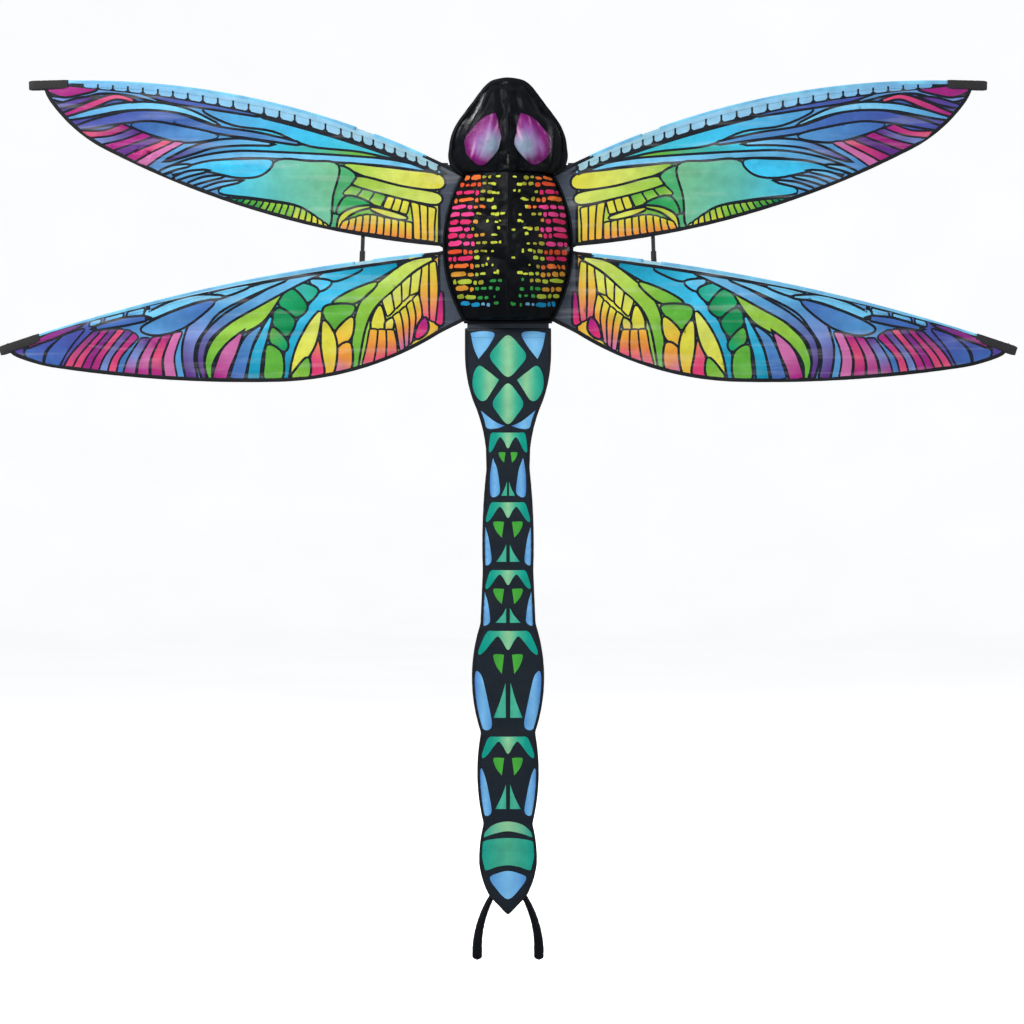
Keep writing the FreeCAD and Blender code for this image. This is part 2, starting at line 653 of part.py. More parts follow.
def wing(wing):
    """Every piece of the left fore- or hindwing, as a list of (name, solid)."""
    bow = BOWS[wing]
    title = f"{wing.title()}wing"
    outline = wing_outline(wing)
    reach = cell("space")
    panel_end = CLOTH_START_X + cell("root_panel_width")
    inner_space = box(f"{title}InnerSpace", 0, CLOTH_START_X, 0, SAIL_FRONT * 2, -reach, reach)
    root_space = box(f"{title}RootSpace", CLOTH_START_X, panel_end, 0, SAIL_FRONT * 2, -reach, reach)
    outer_space = box(f"{title}OuterSpace", panel_end, reach, 0, SAIL_FRONT * 2, -reach, reach)
    cloth_face = inset(f"{title}ClothFace", outline, cell("tape_width"), False)
    tape_face = inset(f"{title}TapeFace", outline, cell("tape_width"), True)
    cloth = slab(f"{title}Cloth", cloth_face, 0, cell("cloth"))
    tape = slab(f"{title}Tape", tape_face, cell("tape_front"), cell("tape_back"))
    pieces = [
        ("sail", common(f"{title}Sail", cloth, outer_space)),
        ("root_panel", common(f"{title}RootPanel", cloth, root_space)),
        ("binding", cut(f"{title}Binding", tape, inner_space)),
    ]

    # The spar, and the sleeve that it runs in, which is open where the strut's connector sits.
    spar_x = cell(f"{wing}_spar_x")
    spar_start = HINGE_X + cell("fork_length")
    spar = bowed_rod(f"{title}Spar", bow, spar_start, spar_x, cell("spar_radius"))
    pocket_half_length = cell(f"{wing}_pocket_length") / 2
    sleeve_end = cell(f"{wing}_pocket_x") - pocket_half_length
    sleeve_start = HINGE_X + cell("socket_end") + cell("sleeve_gap")
    spare = cell("overshoot")
    tube = bowed_rod(f"{title}Tube", bow, sleeve_start, sleeve_end, cell("sleeve_radius"))
    hollow = bowed_rod(f"{title}Hollow", bow, sleeve_start - spare, sleeve_end + spare, cell("sleeve_bore"))
    strut_x = cell(f"strut_{wing}_x")
    opening = box(
        f"{title}SleeveOpening",
        strut_x - cell("sleeve_opening"),
        strut_x + cell("sleeve_opening"),
        0,
        SAIL_FRONT * 2,
        -reach,
        reach,
    )
    sleeve = cut(f"{title}Sleeve", cut(f"{title}SleeveTube", tube, hollow), opening)

    # The webbing pocket folded over the wing's tip.
    centre_x = cell(f"{wing}_pocket_x")
    block = doc.addObject("Part::Box", f"{title}PocketBlock")
    depth = cell("pocket_front") + cell("pocket_back")
    bind(block, Length=pocket_half_length * 2, Width=depth, Height=cell("pocket_half") * 2)
    along = bow.outward(centre_x)
    corner = Vector(centre_x.number, 0, bow.height(centre_x).number) - along * pocket_half_length.number
    corner -= Vector(-along.z, 0, along.x) * cell("pocket_half").number
    place(block, corner.x, SAIL_FRONT - cell("pocket_front"), corner.z, bow.square(centre_x))
    slot = slab(f"{title}PocketSlot", outline, cell("tape_front"), cell("tape_back"))
    channel = bowed_rod(f"{title}Channel", bow, sleeve_end - spare, spar_x, cell("spar_radius"))
    tip_pocket = cut(f"{title}TipPocket", cut(f"{title}Folded", block, slot), channel)

    hinge_height = bow.height(HINGE_X)
    mouth_x = HINGE_X + cell("socket_end")
    rise = bow.height(mouth_x) - hinge_height
    tilt = math.degrees(math.atan2(rise.number, cell("socket_end").number))
    hinge_tongue = tongue(f"{title}HingeTongue", cell("spar_radius"), tilt)
    place(hinge_tongue, HINGE_X, FRAME_Y, hinge_height)
    pieces += [
        ("sleeve", sleeve),
        ("spar", spar),
        ("tip_pocket", tip_pocket),
        ("hinge_tongue", hinge_tongue),
    ]
    return [(f"{wing}wing_{name}", piece) for name, piece in pieces]


def strut_line():
    """The strut's two ends, on the spars' axes, and its direction downwards."""
    ends = []
    for wing_name in WINGS:
        x = cell(f"strut_{wing_name}_x")
        ends.append((x, BOWS[wing_name].height(x)))
    points = [Vector(x.number, 0, z.number) for x, z in ends]
    return ends, points, (points[1] - points[0]).normalize()


def strut():
    """The rod that holds the two spars of a side apart."""
    (top, _), points, down = strut_line()
    floor = cell("strut_socket_floor").number
    start = points[0] + down * floor
    length = (points[1] - points[0]).Length - 2 * floor
    lie = Rotation(Vector(0, 0, 1), down)
    return cylinder("Strut", cell("strut_radius"), length, start.x, FRAME_Y, start.z, lie)


def strut_connectors():
    """One connector on each spar, with a socket for the strut's end."""
    ends, _, down = strut_line()
    connectors = []
    for wing_name, (x, z), away in zip(WINGS, ends, (down, -down)):
        title = f"{wing_name.title()}Connector"
        along = BOWS[wing_name].outward(x)
        on_spar = Rotation(Vector(0, 0, 1), along)
        on_strut = Rotation(Vector(0, 0, 1), away)
        half = cell("clip_half")
        begin = Vector(x.number, 0, z.number) - along * half.number
        floor = cell("strut_socket_floor")
        mouth = cell("strut_socket_end")
        bore_start = Vector(x.number, 0, z.number) + away * floor.number
        far_start = Vector(x.number, 0, z.number) - along * (half.number * 2)
        blank = fuse(
            f"{title}Blank",
            cylinder(f"{title}Clip", cell("clip_radius"), half * 2, begin.x, FRAME_Y, begin.z, on_spar),
            cylinder(f"{title}Socket", cell("strut_socket"), mouth, x, FRAME_Y, z, on_strut),
        )
        spar_bore, strut_bore = SPAR_BORE, cell("strut_radius") + cell("socket_slack")
        tools = fuse(
            f"{title}Cuts",
            cylinder(f"{title}SparBore", spar_bore, half * 4, far_start.x, FRAME_Y, far_start.z, on_spar),
            cylinder(f"{title}Bore", strut_bore, mouth, bore_start.x, FRAME_Y, bore_start.z, on_strut),
        )
        connectors.append(cut(f"{title}Cut", blank, tools))
    return group("StrutConnectors", *connectors)


left_pieces = wing("fore") + wing("hind")
left_pieces += [("wing_strut", strut()), ("strut_connectors", strut_connectors())]
for name, piece in left_pieces:
    node(f"left_{name}", piece)
    node(f"right_{name}", mirror(f"Right{piece.Name}", piece))


# ---------------------------------------------------------------------------------------------
# Head and thorax
# ---------------------------------------------------------------------------------------------
def mirrored_profile(half_corners, half_edges):
    """Closes a profile given on the +X side, from its top to its bottom, with its mirror image."""
    corners = list(half_corners)
    edges = list(half_edges)
    backwards = [((0 if size(x).number == 0 else -x), z) for x, z in reversed(half_corners)]
    back_edges = list(reversed(half_edges))
    if size(half_corners[-1][0]).number == 0:
        backwards = backwards[1:]
    else:
        edges.append(None)
    if size(half_corners[0][0]).number == 0:
        backwards = backwards[:-1]
        edges += back_edges
    else:
        edges += back_edges + [None]
    return corners + backwards, edges


def body_outline():
    half = [(0, cell("head_top_z"))]
    half += [(cell(f"{spot}_x"), cell(f"{spot}_z")) for spot in ("dome", "brow", "cheek", "neck", "thorax")]
    arcs = [(cell("dome_radius"), 1), None]
    arcs += [(cell(f"{part}_radius"), 1) for part in ("cheek", "jaw", "thorax")]
    return upright_sketch("BodyOutline", *mirrored_profile(half, arcs))


def dome_section(name, height, half_width, rise):
    """A circular segment that lies level, its chord in the plane of the sails' front faces."""
    sketch = doc.addObject("Sketcher::SketchObject", name)
    place(sketch, 0, 0, height)
    radius = (half_width * half_width + rise * rise) / (rise * 2)
    return draw(sketch, [(-half_width, SAIL_FRONT), (half_width, SAIL_FRONT)], [(radius, -1), None])


def dome(name, sections):
    loft = doc.addObject("Part::Loft", name)
    loft.Sections = [dome_section(f"{name}{n}", *section) for n, section in enumerate(sections, start=1)]
    loft.Solid = True
    return loft


def grown(sections, amount, end):
    """The sections made larger by amount, with the last one moved by end along Z."""
    larger = [(z, width + amount, rise + amount) for z, width, rise in sections]
    z, width, rise = larger[-1]
    larger[-1] = (z + end, width, rise)
    return larger


head_sections = [
    (cell(f"head_height_{n}"), cell(f"head_width_{n}"), cell(f"head_rise_{n}"))
    for n in range(1, len(HEAD_SECTIONS) + 1)
]

# The circle of the thorax's side, through the neck's corner and the bottom corner.
thorax_radius = cell("thorax_radius")
drop = cell("neck_z") - cell("thorax_z")
narrowing = cell("neck_x") - cell("thorax_x")
chord = root(drop * drop + narrowing * narrowing)
chord_to_centre = root(thorax_radius * thorax_radius - chord * chord / 4)
thorax_centre_x = (cell("neck_x") + cell("thorax_x")) / 2 - chord_to_centre * drop / chord
thorax_centre_z = (cell("neck_z") + cell("thorax_z")) / 2 + chord_to_centre * narrowing / chord


def thorax_section(number):
    """Height, half width inside the piping, and rise of a section of the thorax."""
    z = cell(f"thorax_height_{number}")
    along = z - thorax_centre_z
    half_width = thorax_centre_x + root(thorax_radius * thorax_radius - along * along)
    return z, half_width - cell("thorax_band") - cell("skin"), cell(f"thorax_rise_{number}")


thorax_sections = [thorax_section(n) for n in range(1, len(THORAX_SECTIONS) + 1)]

outline = body_outline()
neck_z = cell("neck_z")
space = cell("space")
upper_space = box("HeadSpace", -space, space, 0, SAIL_FRONT * 2, neck_z, space)
lower_space = box("ThoraxSpace", -space, space, 0, SAIL_FRONT * 2, -space, neck_z)
back = cell("tape_back")

head_rim = slab(
    "HeadRim", inset("HeadRimFace", outline, cell("head_band"), True), cell("head_band_front"), back
)
hoop_start = (cell("head_band") - cell("hoop_width")) / 2
hoop_path = inset("HoopPath", outline, hoop_start, False)
hoop_face = inset("HoopFace", hoop_path, cell("hoop_width"), True)
hoop_front = cell("head_band_front") - cell("hoop_cover")
hoop_back = back - cell("hoop_cover")
hoop_ring = slab("HoopRing", hoop_face, hoop_front, hoop_back)
node("head_hoop", common("Hoop", hoop_ring, upper_space))
node("head_binding", cut("HeadBinding", common("HeadRimUpper", head_rim, upper_space), hoop_ring))

thorax_rim = slab(
    "ThoraxRim", inset("ThoraxRimFace", outline, cell("thorax_band"), True), cell("thorax_band_front"), back
)
piping = node("thorax_piping", common("ThoraxPiping", thorax_rim, lower_space))

whole_back = slab("WholeBack", outline, 0, cell("cloth"))
inner_back = slab("InnerBack", inset("InnerBackFace", outline, cell("head_band"), False), 0, cell("cloth"))
upper_back = common("UpperBack", inner_back, upper_space)
lower_back = cut("LowerBack", common("LowerWhole", whole_back, lower_space), thorax_rim)
node("body_back_panel", fuse("BackPanel", upper_back, lower_back))

skin = cell("skin")
head_outside = dome("HeadOutside", head_sections)
head_inside = dome("HeadInside", grown(head_sections, -skin, -skin))
node("head_hood", cut("HeadHood", head_outside, head_inside))
thorax_outside = dome("ThoraxOutside", thorax_sections)
thorax_inside = dome("ThoraxInside", grown(thorax_sections, -skin, skin))
node("thorax_shell", cut("ThoraxShell", thorax_outside, thorax_inside))


def eyes():
    """Two panels sewn on the head, cut from a skin one cloth thicker than the head's."""
    spots = [(cell(f"eye_{spot}_x"), cell(f"eye_{spot}_z")) for spot in ("top", "outer", "low", "inner")]
    long_side, lobe = (cell("eye_round"), 1), (cell("eye_lobe"), 1)
    profile = upright_sketch("EyeOutline", spots, [long_side, lobe, lobe, (cell("eye_hollow"), -1)])
    through = slab("EyeSpace", profile, SAIL_FRONT * 2, 0)
    thicker = dome("EyeOutside", grown(head_sections, cell("eye_cloth"), cell("eye_cloth")))
    layer = cut("EyeLayer", thicker, head_outside)
    eye = common("Eye", layer, through)
    return group("Eyes", eye, mirror("OtherEye", eye))


node("eye_panels", eyes())


def root_gusset(name, corners):
    """The cloth between the thorax's piping and the wing hinge."""
    polygon = upright_sketch(f"{name}Outline", corners, [None] * len(corners))
    return cut(name, slab(f"{name}Cloth", polygon, 0, cell("cloth")), whole_outline)


whole_outline = slab("WholeOutline", outline, cell("tape_front"), back)
gusset_end = HINGE_X - cell("hinge_gap")
fore_top = BOWS["fore"].height(HINGE_X)
hind_top = BOWS["hind"].height(HINGE_X) + cell("edge_offset")
fore_gusset = root_gusset(
    "ForeGusset",
    [
        (cell("thorax_x"), neck_z - cell("gusset_drop")),
        (cell("thorax_x"), cell("fore_inner_z")),
        (gusset_end, cell("fore_inner_z")),
        (gusset_end, fore_top),
    ],
)
hind_gusset = root_gusset(
    "HindGusset",
    [
        (cell("thorax_x"), hind_top),
        (cell("thorax_x"), cell("thorax_z") + cell("gusset_rise")),
        (gusset_end, cell("hind_inner_z") - cell("gusset_rise")),
        (gusset_end, hind_top),
    ],
)
node(
    "root_gussets",
    group(
        "RootGussets",
        fore_gusset,
        hind_gusset,
        mirror("OtherForeGusset", fore_gusset),
        mirror("OtherHindGusset", hind_gusset),
    ),
)

# The frame behind the body: a spine crossed by two spreaders, with a hinge at each end.
spine_end = ABDOMEN_HINGE_Z + cell("fork_length")
spine_top = cell("top_pocket_high") - cell("pocket_floor")
spine_length = spine_top - spine_end
node("body_spine", cylinder("Spine", cell("spine_radius"), spine_length, 0, SPINE_Y, spine_end))
spreader_end = HINGE_X - cell("fork_length")
spreaders = []
connectors = []
forks = []
pins = []
for wing_name in WINGS:
    title = wing_name.title()
    z = BOWS[wing_name].height(HINGE_X)
    rod = cylinder(
        f"{title}Spreader", cell("spar_radius"), spreader_end * 2, -spreader_end, FRAME_Y, z, ALONG_X
    )
    spreaders.append(rod)
    half, tall, wall = cell("cross_half"), cell("cross_height"), cell("cross_wall")
    block_front = FRAME_Y - cell("spar_radius") - wall
    block_back = SPINE_Y + cell("spine_radius") + wall
    block = box(f"{title}CrossBlock", -half, half, block_front, block_back, z - tall, z + tall)
    holes = fuse(
        f"{title}CrossHoles",
        cylinder(f"{title}CrossSpine", cell("spine_radius"), tall * 4, 0, SPINE_Y, z - tall * 2),
        cylinder(f"{title}CrossRod", cell("spar_radius"), half * 4, half * -2, FRAME_Y, z, ALONG_X),
    )
    connectors.append(cut(f"{title}Cross", block, holes))
    for side, x, facing in (("Left", HINGE_X, 0), ("Right", -HINGE_X, 180)):
        turn = Rotation(Vector(0, 0, 1), facing)
        forks.append(fork(f"{title}{side}Fork", cell("spar_radius"), x, FRAME_Y, z, turn))
        pins.append(pin(f"{title}{side}Pin", x, FRAME_Y, z))
node("centre_spreaders", group("Spreaders", *spreaders))
node("cross_connectors", group("CrossConnectors", *connectors))
node("hinge_clevises", group("Clevises", *forks))

# The abdomen's hinge has its axis across the kite and its fork on the spine's lower end.
DOWNWARDS = Rotation(Vector(0, 0, -1), Vector(0, 1, 0), Vector(1, 0, 0))
node(
    "abdomen_hinge_clevis",
    fork("AbdomenFork", cell("spine_radius"), 0, SPINE_Y, ABDOMEN_HINGE_Z, DOWNWARDS),
)
pins.append(pin("AbdomenPin", 0, SPINE_Y, ABDOMEN_HINGE_Z, DOWNWARDS))
node("hinge_pins", group("Pins", *pins))


def rod_block(name, radius, half_width, height, depth, x, y, z, rotation=Rotation()):
    """Webbing sewn to the sail about an upright rod, bored from its lower end to a depth."""
    body = new_body(name)
    front = SPINE_Y - SAIL_FRONT - cell("cloth")
    section = draw_rectangle(
        body_sketch(body, f"{name}Section", "XY_Plane"),
        -half_width,
        half_width,
        -front,
        radius + cell("loop_wall"),
    )
    pad(body, f"{name}Block", section, height)
    hole = draw_circle(body_sketch(body, f"{name}HoleSection", "XY_Plane"), 0, 0, radius)
    pocket(body, f"{name}Hole", hole, depth)
    place(body, x, y, z, rotation)
    return body


UPSIDE_DOWN = Rotation(Vector(0, 1, 0), 180)
top_height = cell("top_pocket_high") - cell("top_pocket_low")
node(
    "spine_top_pocket",
    rod_block(
        "TopPocket",
        cell("spine_radius"),
        cell("webbing_half"),
        top_height,
        top_height - cell("pocket_floor"),
        0,
        SPINE_Y,
        cell("top_pocket_low"),
    ),
)


# ---------------------------------------------------------------------------------------------
# Tow point
# ---------------------------------------------------------------------------------------------
def tow_tab():
    """A doubled webbing tab in the neck's middle seam, holed for the eyelet."""
    body = new_body("TabBody")
    half = cell("tab_half_width")
    section = draw_rectangle(
        body_sketch(body, "TabSection", "YZ_Plane"), -cell("tab_front"), cell("tab_root"), -half, half
    )
    pad(body, "TabPad", section, cell("tab_half") * 2, symmetric=True)
    hole = draw_circle(body_sketch(body, "TabHoleSection", "YZ_Plane"), 0, 0, cell("eyelet_barrel"))
    pocket(body, "TabHole", hole, cell("tab_half") * 4, symmetric=True)
    return cut("TowTab", body, head_outside)


node("tow_tab", tow_tab())
bore, barrel, flange = cell("eyelet_bore"), cell("eyelet_barrel"), cell("eyelet_flange")
half, tab = cell("eyelet_half"), cell("tab_half")
eyelet_corners = [(bore, -half), (flange, -half), (flange, -tab), (barrel, -tab)]
eyelet_corners += [(barrel, tab), (flange, tab), (flange, half), (bore, half)]
eyelet = node("tow_eyelet", revolved_body("Eyelet", eyelet_corners))
eyelet.Placement = Placement(Vector(0, 0, 0), ALONG_X)


# ---------------------------------------------------------------------------------------------
# Abdomen
# ---------------------------------------------------------------------------------------------
def abdomen_outline():
    """A long panel that swells and narrows once in each of its lower segments."""
    spots = ("shoulder", "flank", "waist", "slim", "mid", "barrel", "sixth", "seventh", "tail_wide", "tail")
    half = [(cell("shoulder_x"), ABDOMEN_HINGE_Z - cell("abdomen_gap"))]
    half += [(cell(f"{spot}_x"), cell(f"{spot}_z")) for spot in spots]
    half.append((0, cell("tail_end_z")))
    arcs = [None, (cell("shoulder_radius"), 1), (cell("flank_radius"), -1), None]
    arcs += [(cell("mid_radius"), 1), None, (cell("barrel_radius"), 1), (cell("sixth_radius"), 1)]
    arcs += [(cell("seventh_radius"), 1), (cell("tail_round"), 1), None]
    return upright_sketch("AbdomenOutline", *mirrored_profile(half, arcs))


abdomen = abdomen_outline()
band = cell("abdomen_band")
node("abdomen_panel", slab("AbdomenCloth", inset("AbdomenFace", abdomen, band, False), 0, cell("cloth")))
abdomen_tape = slab("AbdomenTape", inset("AbdomenTapeFace", abdomen, band, True), cell("tape_front"), back)
node("abdomen_binding", abdomen_tape)

rod_top = ABDOMEN_HINGE_Z - cell("socket_start") - cell("socket_floor")
joint_z = cell("joint_z")
upper_length = rod_top - joint_z
lower_length = joint_z - cell("lower_rod_end")
thin = cell("lower_rod_radius")
thick = cell("spine_radius")
node("abdomen_rod_upper", cylinder("UpperRod", thick, upper_length, 0, SPINE_Y, joint_z))
node("abdomen_rod_lower", cylinder("LowerRod", thin, lower_length, 0, SPINE_Y, cell("lower_rod_end")))
outside, reach = cell("ferrule_radius"), cell("ferrule_half")
ferrule_corners = [(thin, -reach), (outside, -reach), (outside, reach)]
ferrule_corners += [(thick, reach), (thick, 0), (thin, 0)]
ferrule = node("rod_ferrule", revolved_body("Ferrule", ferrule_corners))
place(ferrule, 0, SPINE_Y, joint_z)

loops = []
for number, seam_z in enumerate(SEAM_HEIGHTS, start=1):
    rod_radius = thick if seam_z > joint_z.number else thin
    height = cell("loop_half") * 2
    low = seam_z - cell("loop_half")
    loops.append(
        rod_block(f"Loop{number}", rod_radius, cell("loop_half"), height, height, 0, SPINE_Y, low)
    )
node("rod_loops", group("RodLoops", *loops))

tail_height = cell("tail_pocket_high") - cell("tail_pocket_low")
tail_depth = cell("tail_pocket_high") - cell("lower_rod_end")
tail_block = rod_block(
    "TailBlock",
    thin,
    cell("webbing_half"),
    tail_height,
    tail_depth,
    0,
    SPINE_Y,
    cell("tail_pocket_high"),
    UPSIDE_DOWN,
)
node("tail_pocket", cut("TailPocket", tail_block, abdomen_tape))
abdomen_tongue = node("abdomen_hinge_tongue", tongue("AbdomenTongue", thick, 0))
place(abdomen_tongue, 0, SPINE_Y, ABDOMEN_HINGE_Z, DOWNWARDS)


# ---------------------------------------------------------------------------------------------
# Claspers
# ---------------------------------------------------------------------------------------------
def clasper():
    """A soft tube that bends outwards and down, and thickens to a round end."""
    top = Vector(cell("clasper_x").number, 0, cell("clasper_z").number)
    bend = Vector(cell("clasper_end_x").number, 0, cell("clasper_bend_z").number)
    end = Vector(bend.x, 0, cell("clasper_end_z").number)
    radius = cell("clasper_bow").number
    centre = bend - Vector(radius, 0, 0)
    middle = ((top + bend) / 2 - centre).normalize() * radius + centre
    path = doc.addObject("Part::Feature", "ClasperPath")
    path.Shape = Part.Wire([Part.Arc(top, middle, bend).toShape(), Part.LineSegment(bend, end).toShape()])
    slope = path.Shape.Edges[0].tangentAt(path.Shape.Edges[0].FirstParameter)
    start_circle = doc.addObject("Part::Circle", "ClasperStart")
    bind(start_circle, Radius=cell("clasper_top"))
    start_circle.Placement = Placement(top, Rotation(Vector(0, 0, 1), slope))
    end_circle = doc.addObject("Part::Circle", "ClasperEnd")
    bind(end_circle, Radius=cell("clasper_tip"))
    end_circle.Placement = Placement(end, Rotation(Vector(0, 0, 1), Vector(0, 0, -1)))
    tube = doc.addObject("Part::Sweep", "ClasperTube")
    tube.Sections = [start_circle, end_circle]
    tube.Spine = path
    tube.Solid = True
    round_end = doc.addObject("Part::Sphere", "ClasperRound")
    bind(round_end, Radius=cell("clasper_tip"))
    round_end.Placement = Placement(end, Rotation())
    root_end = doc.addObject("Part::Sphere", "ClasperRoot")
    bind(root_end, Radius=cell("clasper_top"))
    root_end.Placement = Placement(top, Rotation())
    whole = fuse("ClasperBlank", tube, round_end, root_end)
    place(whole, 0, CLASPER_Y, 0)
    root_x = cell("clasper_x")
    bore = cell("pin_radius") + cell("socket_slack")
    reach = cell("clasper_top") * 2
    hole = cylinder("ClasperHole", bore, reach * 2, root_x - reach, CLASPER_Y, cell("clasper_z"), ALONG_X)
    return cut("Clasper", whole, hole)


def clasper_holder():
    """A block sewn behind the abdomen, with the pin that a clasper's root turns on."""
    z, half = cell("clasper_z"), cell("holder_half")
    inner_x, outer_x, pin_end = cell("holder_inner_x"), cell("holder_outer_x"), cell("clasper_pin_end")
    front, back_face = SAIL_FRONT + cell("cloth"), CLASPER_Y + cell("holder_back")
    block = box("HolderBlock", inner_x, outer_x, front, back_face, z - half, z + half)
    pin_length = pin_end - inner_x
    axle = cylinder("HolderPin", cell("pin_radius"), pin_length, inner_x, CLASPER_Y, z, ALONG_X)
    return fuse("ClasperHolder", block, axle)


CLASPER_Y = SAIL_FRONT + cell("clasper_depth")
left_clasper = node("left_clasper", clasper())
node("right_clasper", mirror("OtherClasper", left_clasper))
left_holder = clasper_holder()
node("clasper_holders", group("ClasperHolders", left_holder, mirror("OtherHolder", left_holder)))

# ---------------------------------------------------------------------------------------------
# Check every object, then write one file per sub-part
# ---------------------------------------------------------------------------------------------
doc.recompute()
faults = [f"{thing.Name}: {thing.State}" for thing in doc.Objects if {"Invalid", "Error"} & set(thing.State)]
for name, thing in nodes.items():
    shape = thing.Shape
    if shape.isNull() or not shape.isValid() or not shape.Solids or shape.Volume <= 0:
        faults.append(f"{name}: no valid solid")
if faults:
    raise RuntimeError("; ".join(faults))
os.makedirs("parts", exist_ok=True)
for name, thing in nodes.items():
    thing.Shape.exportStep(f"parts/{name}.step")
print(len(nodes), "sub-parts written")
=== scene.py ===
import bmesh
import bpy
import math
import numpy as np
import random
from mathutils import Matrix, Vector, noise
from mathutils.geometry import delaunay_2d_cdt

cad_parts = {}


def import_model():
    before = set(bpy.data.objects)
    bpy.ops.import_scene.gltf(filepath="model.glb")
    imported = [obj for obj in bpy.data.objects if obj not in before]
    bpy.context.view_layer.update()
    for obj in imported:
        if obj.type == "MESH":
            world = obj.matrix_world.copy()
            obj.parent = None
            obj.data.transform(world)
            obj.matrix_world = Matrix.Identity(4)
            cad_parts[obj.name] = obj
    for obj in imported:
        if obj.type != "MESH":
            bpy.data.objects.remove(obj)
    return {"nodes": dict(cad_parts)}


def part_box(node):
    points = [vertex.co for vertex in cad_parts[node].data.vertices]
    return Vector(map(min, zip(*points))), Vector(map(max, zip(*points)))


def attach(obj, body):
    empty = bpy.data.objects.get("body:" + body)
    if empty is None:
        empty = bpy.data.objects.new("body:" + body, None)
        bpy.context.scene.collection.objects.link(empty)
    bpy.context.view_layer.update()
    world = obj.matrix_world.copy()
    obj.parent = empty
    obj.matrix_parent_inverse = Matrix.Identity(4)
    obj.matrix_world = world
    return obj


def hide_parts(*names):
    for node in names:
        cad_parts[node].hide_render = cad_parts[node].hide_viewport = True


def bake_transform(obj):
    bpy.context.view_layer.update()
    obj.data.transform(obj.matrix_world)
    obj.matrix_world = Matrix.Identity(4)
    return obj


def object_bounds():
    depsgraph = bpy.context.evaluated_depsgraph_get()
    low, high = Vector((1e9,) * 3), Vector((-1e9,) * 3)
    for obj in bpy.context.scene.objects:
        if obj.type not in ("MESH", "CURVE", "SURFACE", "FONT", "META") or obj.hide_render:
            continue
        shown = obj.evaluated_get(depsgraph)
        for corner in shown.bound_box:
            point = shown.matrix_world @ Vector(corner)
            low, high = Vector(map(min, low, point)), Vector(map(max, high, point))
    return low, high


# The looks of a dragonfly kite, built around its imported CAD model. Everything is in metres. +X is the
# kite's left wing, which is on the right in a front view, +Y its back and +Z its head.

MM = 0.001
CLOTH_THICKNESS = 0.5 * MM
SIDES = {"left": 1, "right": -1}

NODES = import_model()["nodes"]
cad_low, cad_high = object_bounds()


def rumple(x, y, z):
    """Smooth noise from about -1 to 1, the same at every run."""
    return noise.noise(Vector((x, y, z)))


# ---------------------------------------------------------------------------------------------
# Camera, floor and lights
# ---------------------------------------------------------------------------------------------
VIEW_CENTRE_X = 7 * MM
VIEW_CENTRE_Z = -611 * MM
VIEW_WIDTH = 1.807
LENS, SENSOR = 85, 36


def make_camera():
    data = bpy.data.cameras.new("Camera")
    data.lens = LENS
    data.sensor_width = SENSOR
    camera = bpy.data.objects.new("Camera", data)
    bpy.context.scene.collection.objects.link(camera)
    sail_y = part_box("left_forewing_sail")[0].y
    distance = VIEW_WIDTH * LENS / SENSOR
    camera.location = (VIEW_CENTRE_X, sail_y - distance, VIEW_CENTRE_Z)
    camera.rotation_euler = (math.radians(90), 0, 0)
    bpy.context.scene.camera = camera


def make_stage():
    """A pale floor that sweeps up into a wall all round, far enough out for every view."""
    floor_z = cad_low.z - 0.12
    flat_radius, sweep, wall_height, around = 13.0, 3.0, 12.0, 96
    profile = [(0.0, 0.0), (flat_radius * 0.5, 0.0), (flat_radius, 0.0)]
    for step in range(1, 13):
        turn = math.radians(90 * step / 12)
        profile.append((flat_radius + sweep * math.sin(turn), sweep * (1 - math.cos(turn))))
    profile.append((flat_radius + sweep, wall_height))
    verts = [Vector((0, 0, floor_z))]
    for radius, height in profile[1:]:
        for n in range(around):
            turn = 2 * math.pi * n / around
            verts.append(Vector((radius * math.cos(turn), radius * math.sin(turn), floor_z + height)))
    faces = [(0, 1 + n, 1 + (n + 1) % around) for n in range(around)]
    faces += grid_faces(len(profile) - 1, around, wrap_columns=True, flipped=True, start=1)
    stage = mesh_object("floor", verts, faces)
    stage.data.materials.append(stage_material())
    stage.visible_diffuse = False
    stage.visible_glossy = False


def make_light(name, place, target, width, power, colour=(1, 1, 1)):
    data = bpy.data.lights.new(name, "AREA")
    data.shape = "RECTANGLE"
    data.size = width
    data.size_y = width * 0.8
    data.energy = power
    data.color = colour
    light = bpy.data.objects.new(name, data)
    light.location = place
    light.rotation_euler = (Vector(target) - Vector(place)).to_track_quat("-Z", "Y").to_euler()
    bpy.context.scene.collection.objects.link(light)


def make_lights():
    middle = (0, 0, -0.45)
    make_light("key", (-3.0, -3.0, 2.6), middle, 1.6, 235, (1.0, 0.985, 0.96))
    make_light("fill", (3.6, -3.4, 0.2), middle, 2.6, 50, (0.96, 0.98, 1.0))
    make_light("back_left", (-2.4, 3.8, 2.2), middle, 2.0, 150)
    make_light("back_right", (3.2, 3.2, 0.6), middle, 2.4, 75)
    world = bpy.data.worlds.new("Studio")
    world.use_nodes = True
    background = world.node_tree.nodes["Background"]
    background.inputs["Color"].default_value = (0.95, 0.97, 1.0, 1)
    background.inputs["Strength"].default_value = 0.38
    bpy.context.scene.world = world
    bpy.context.scene.view_settings.view_transform = "Standard"


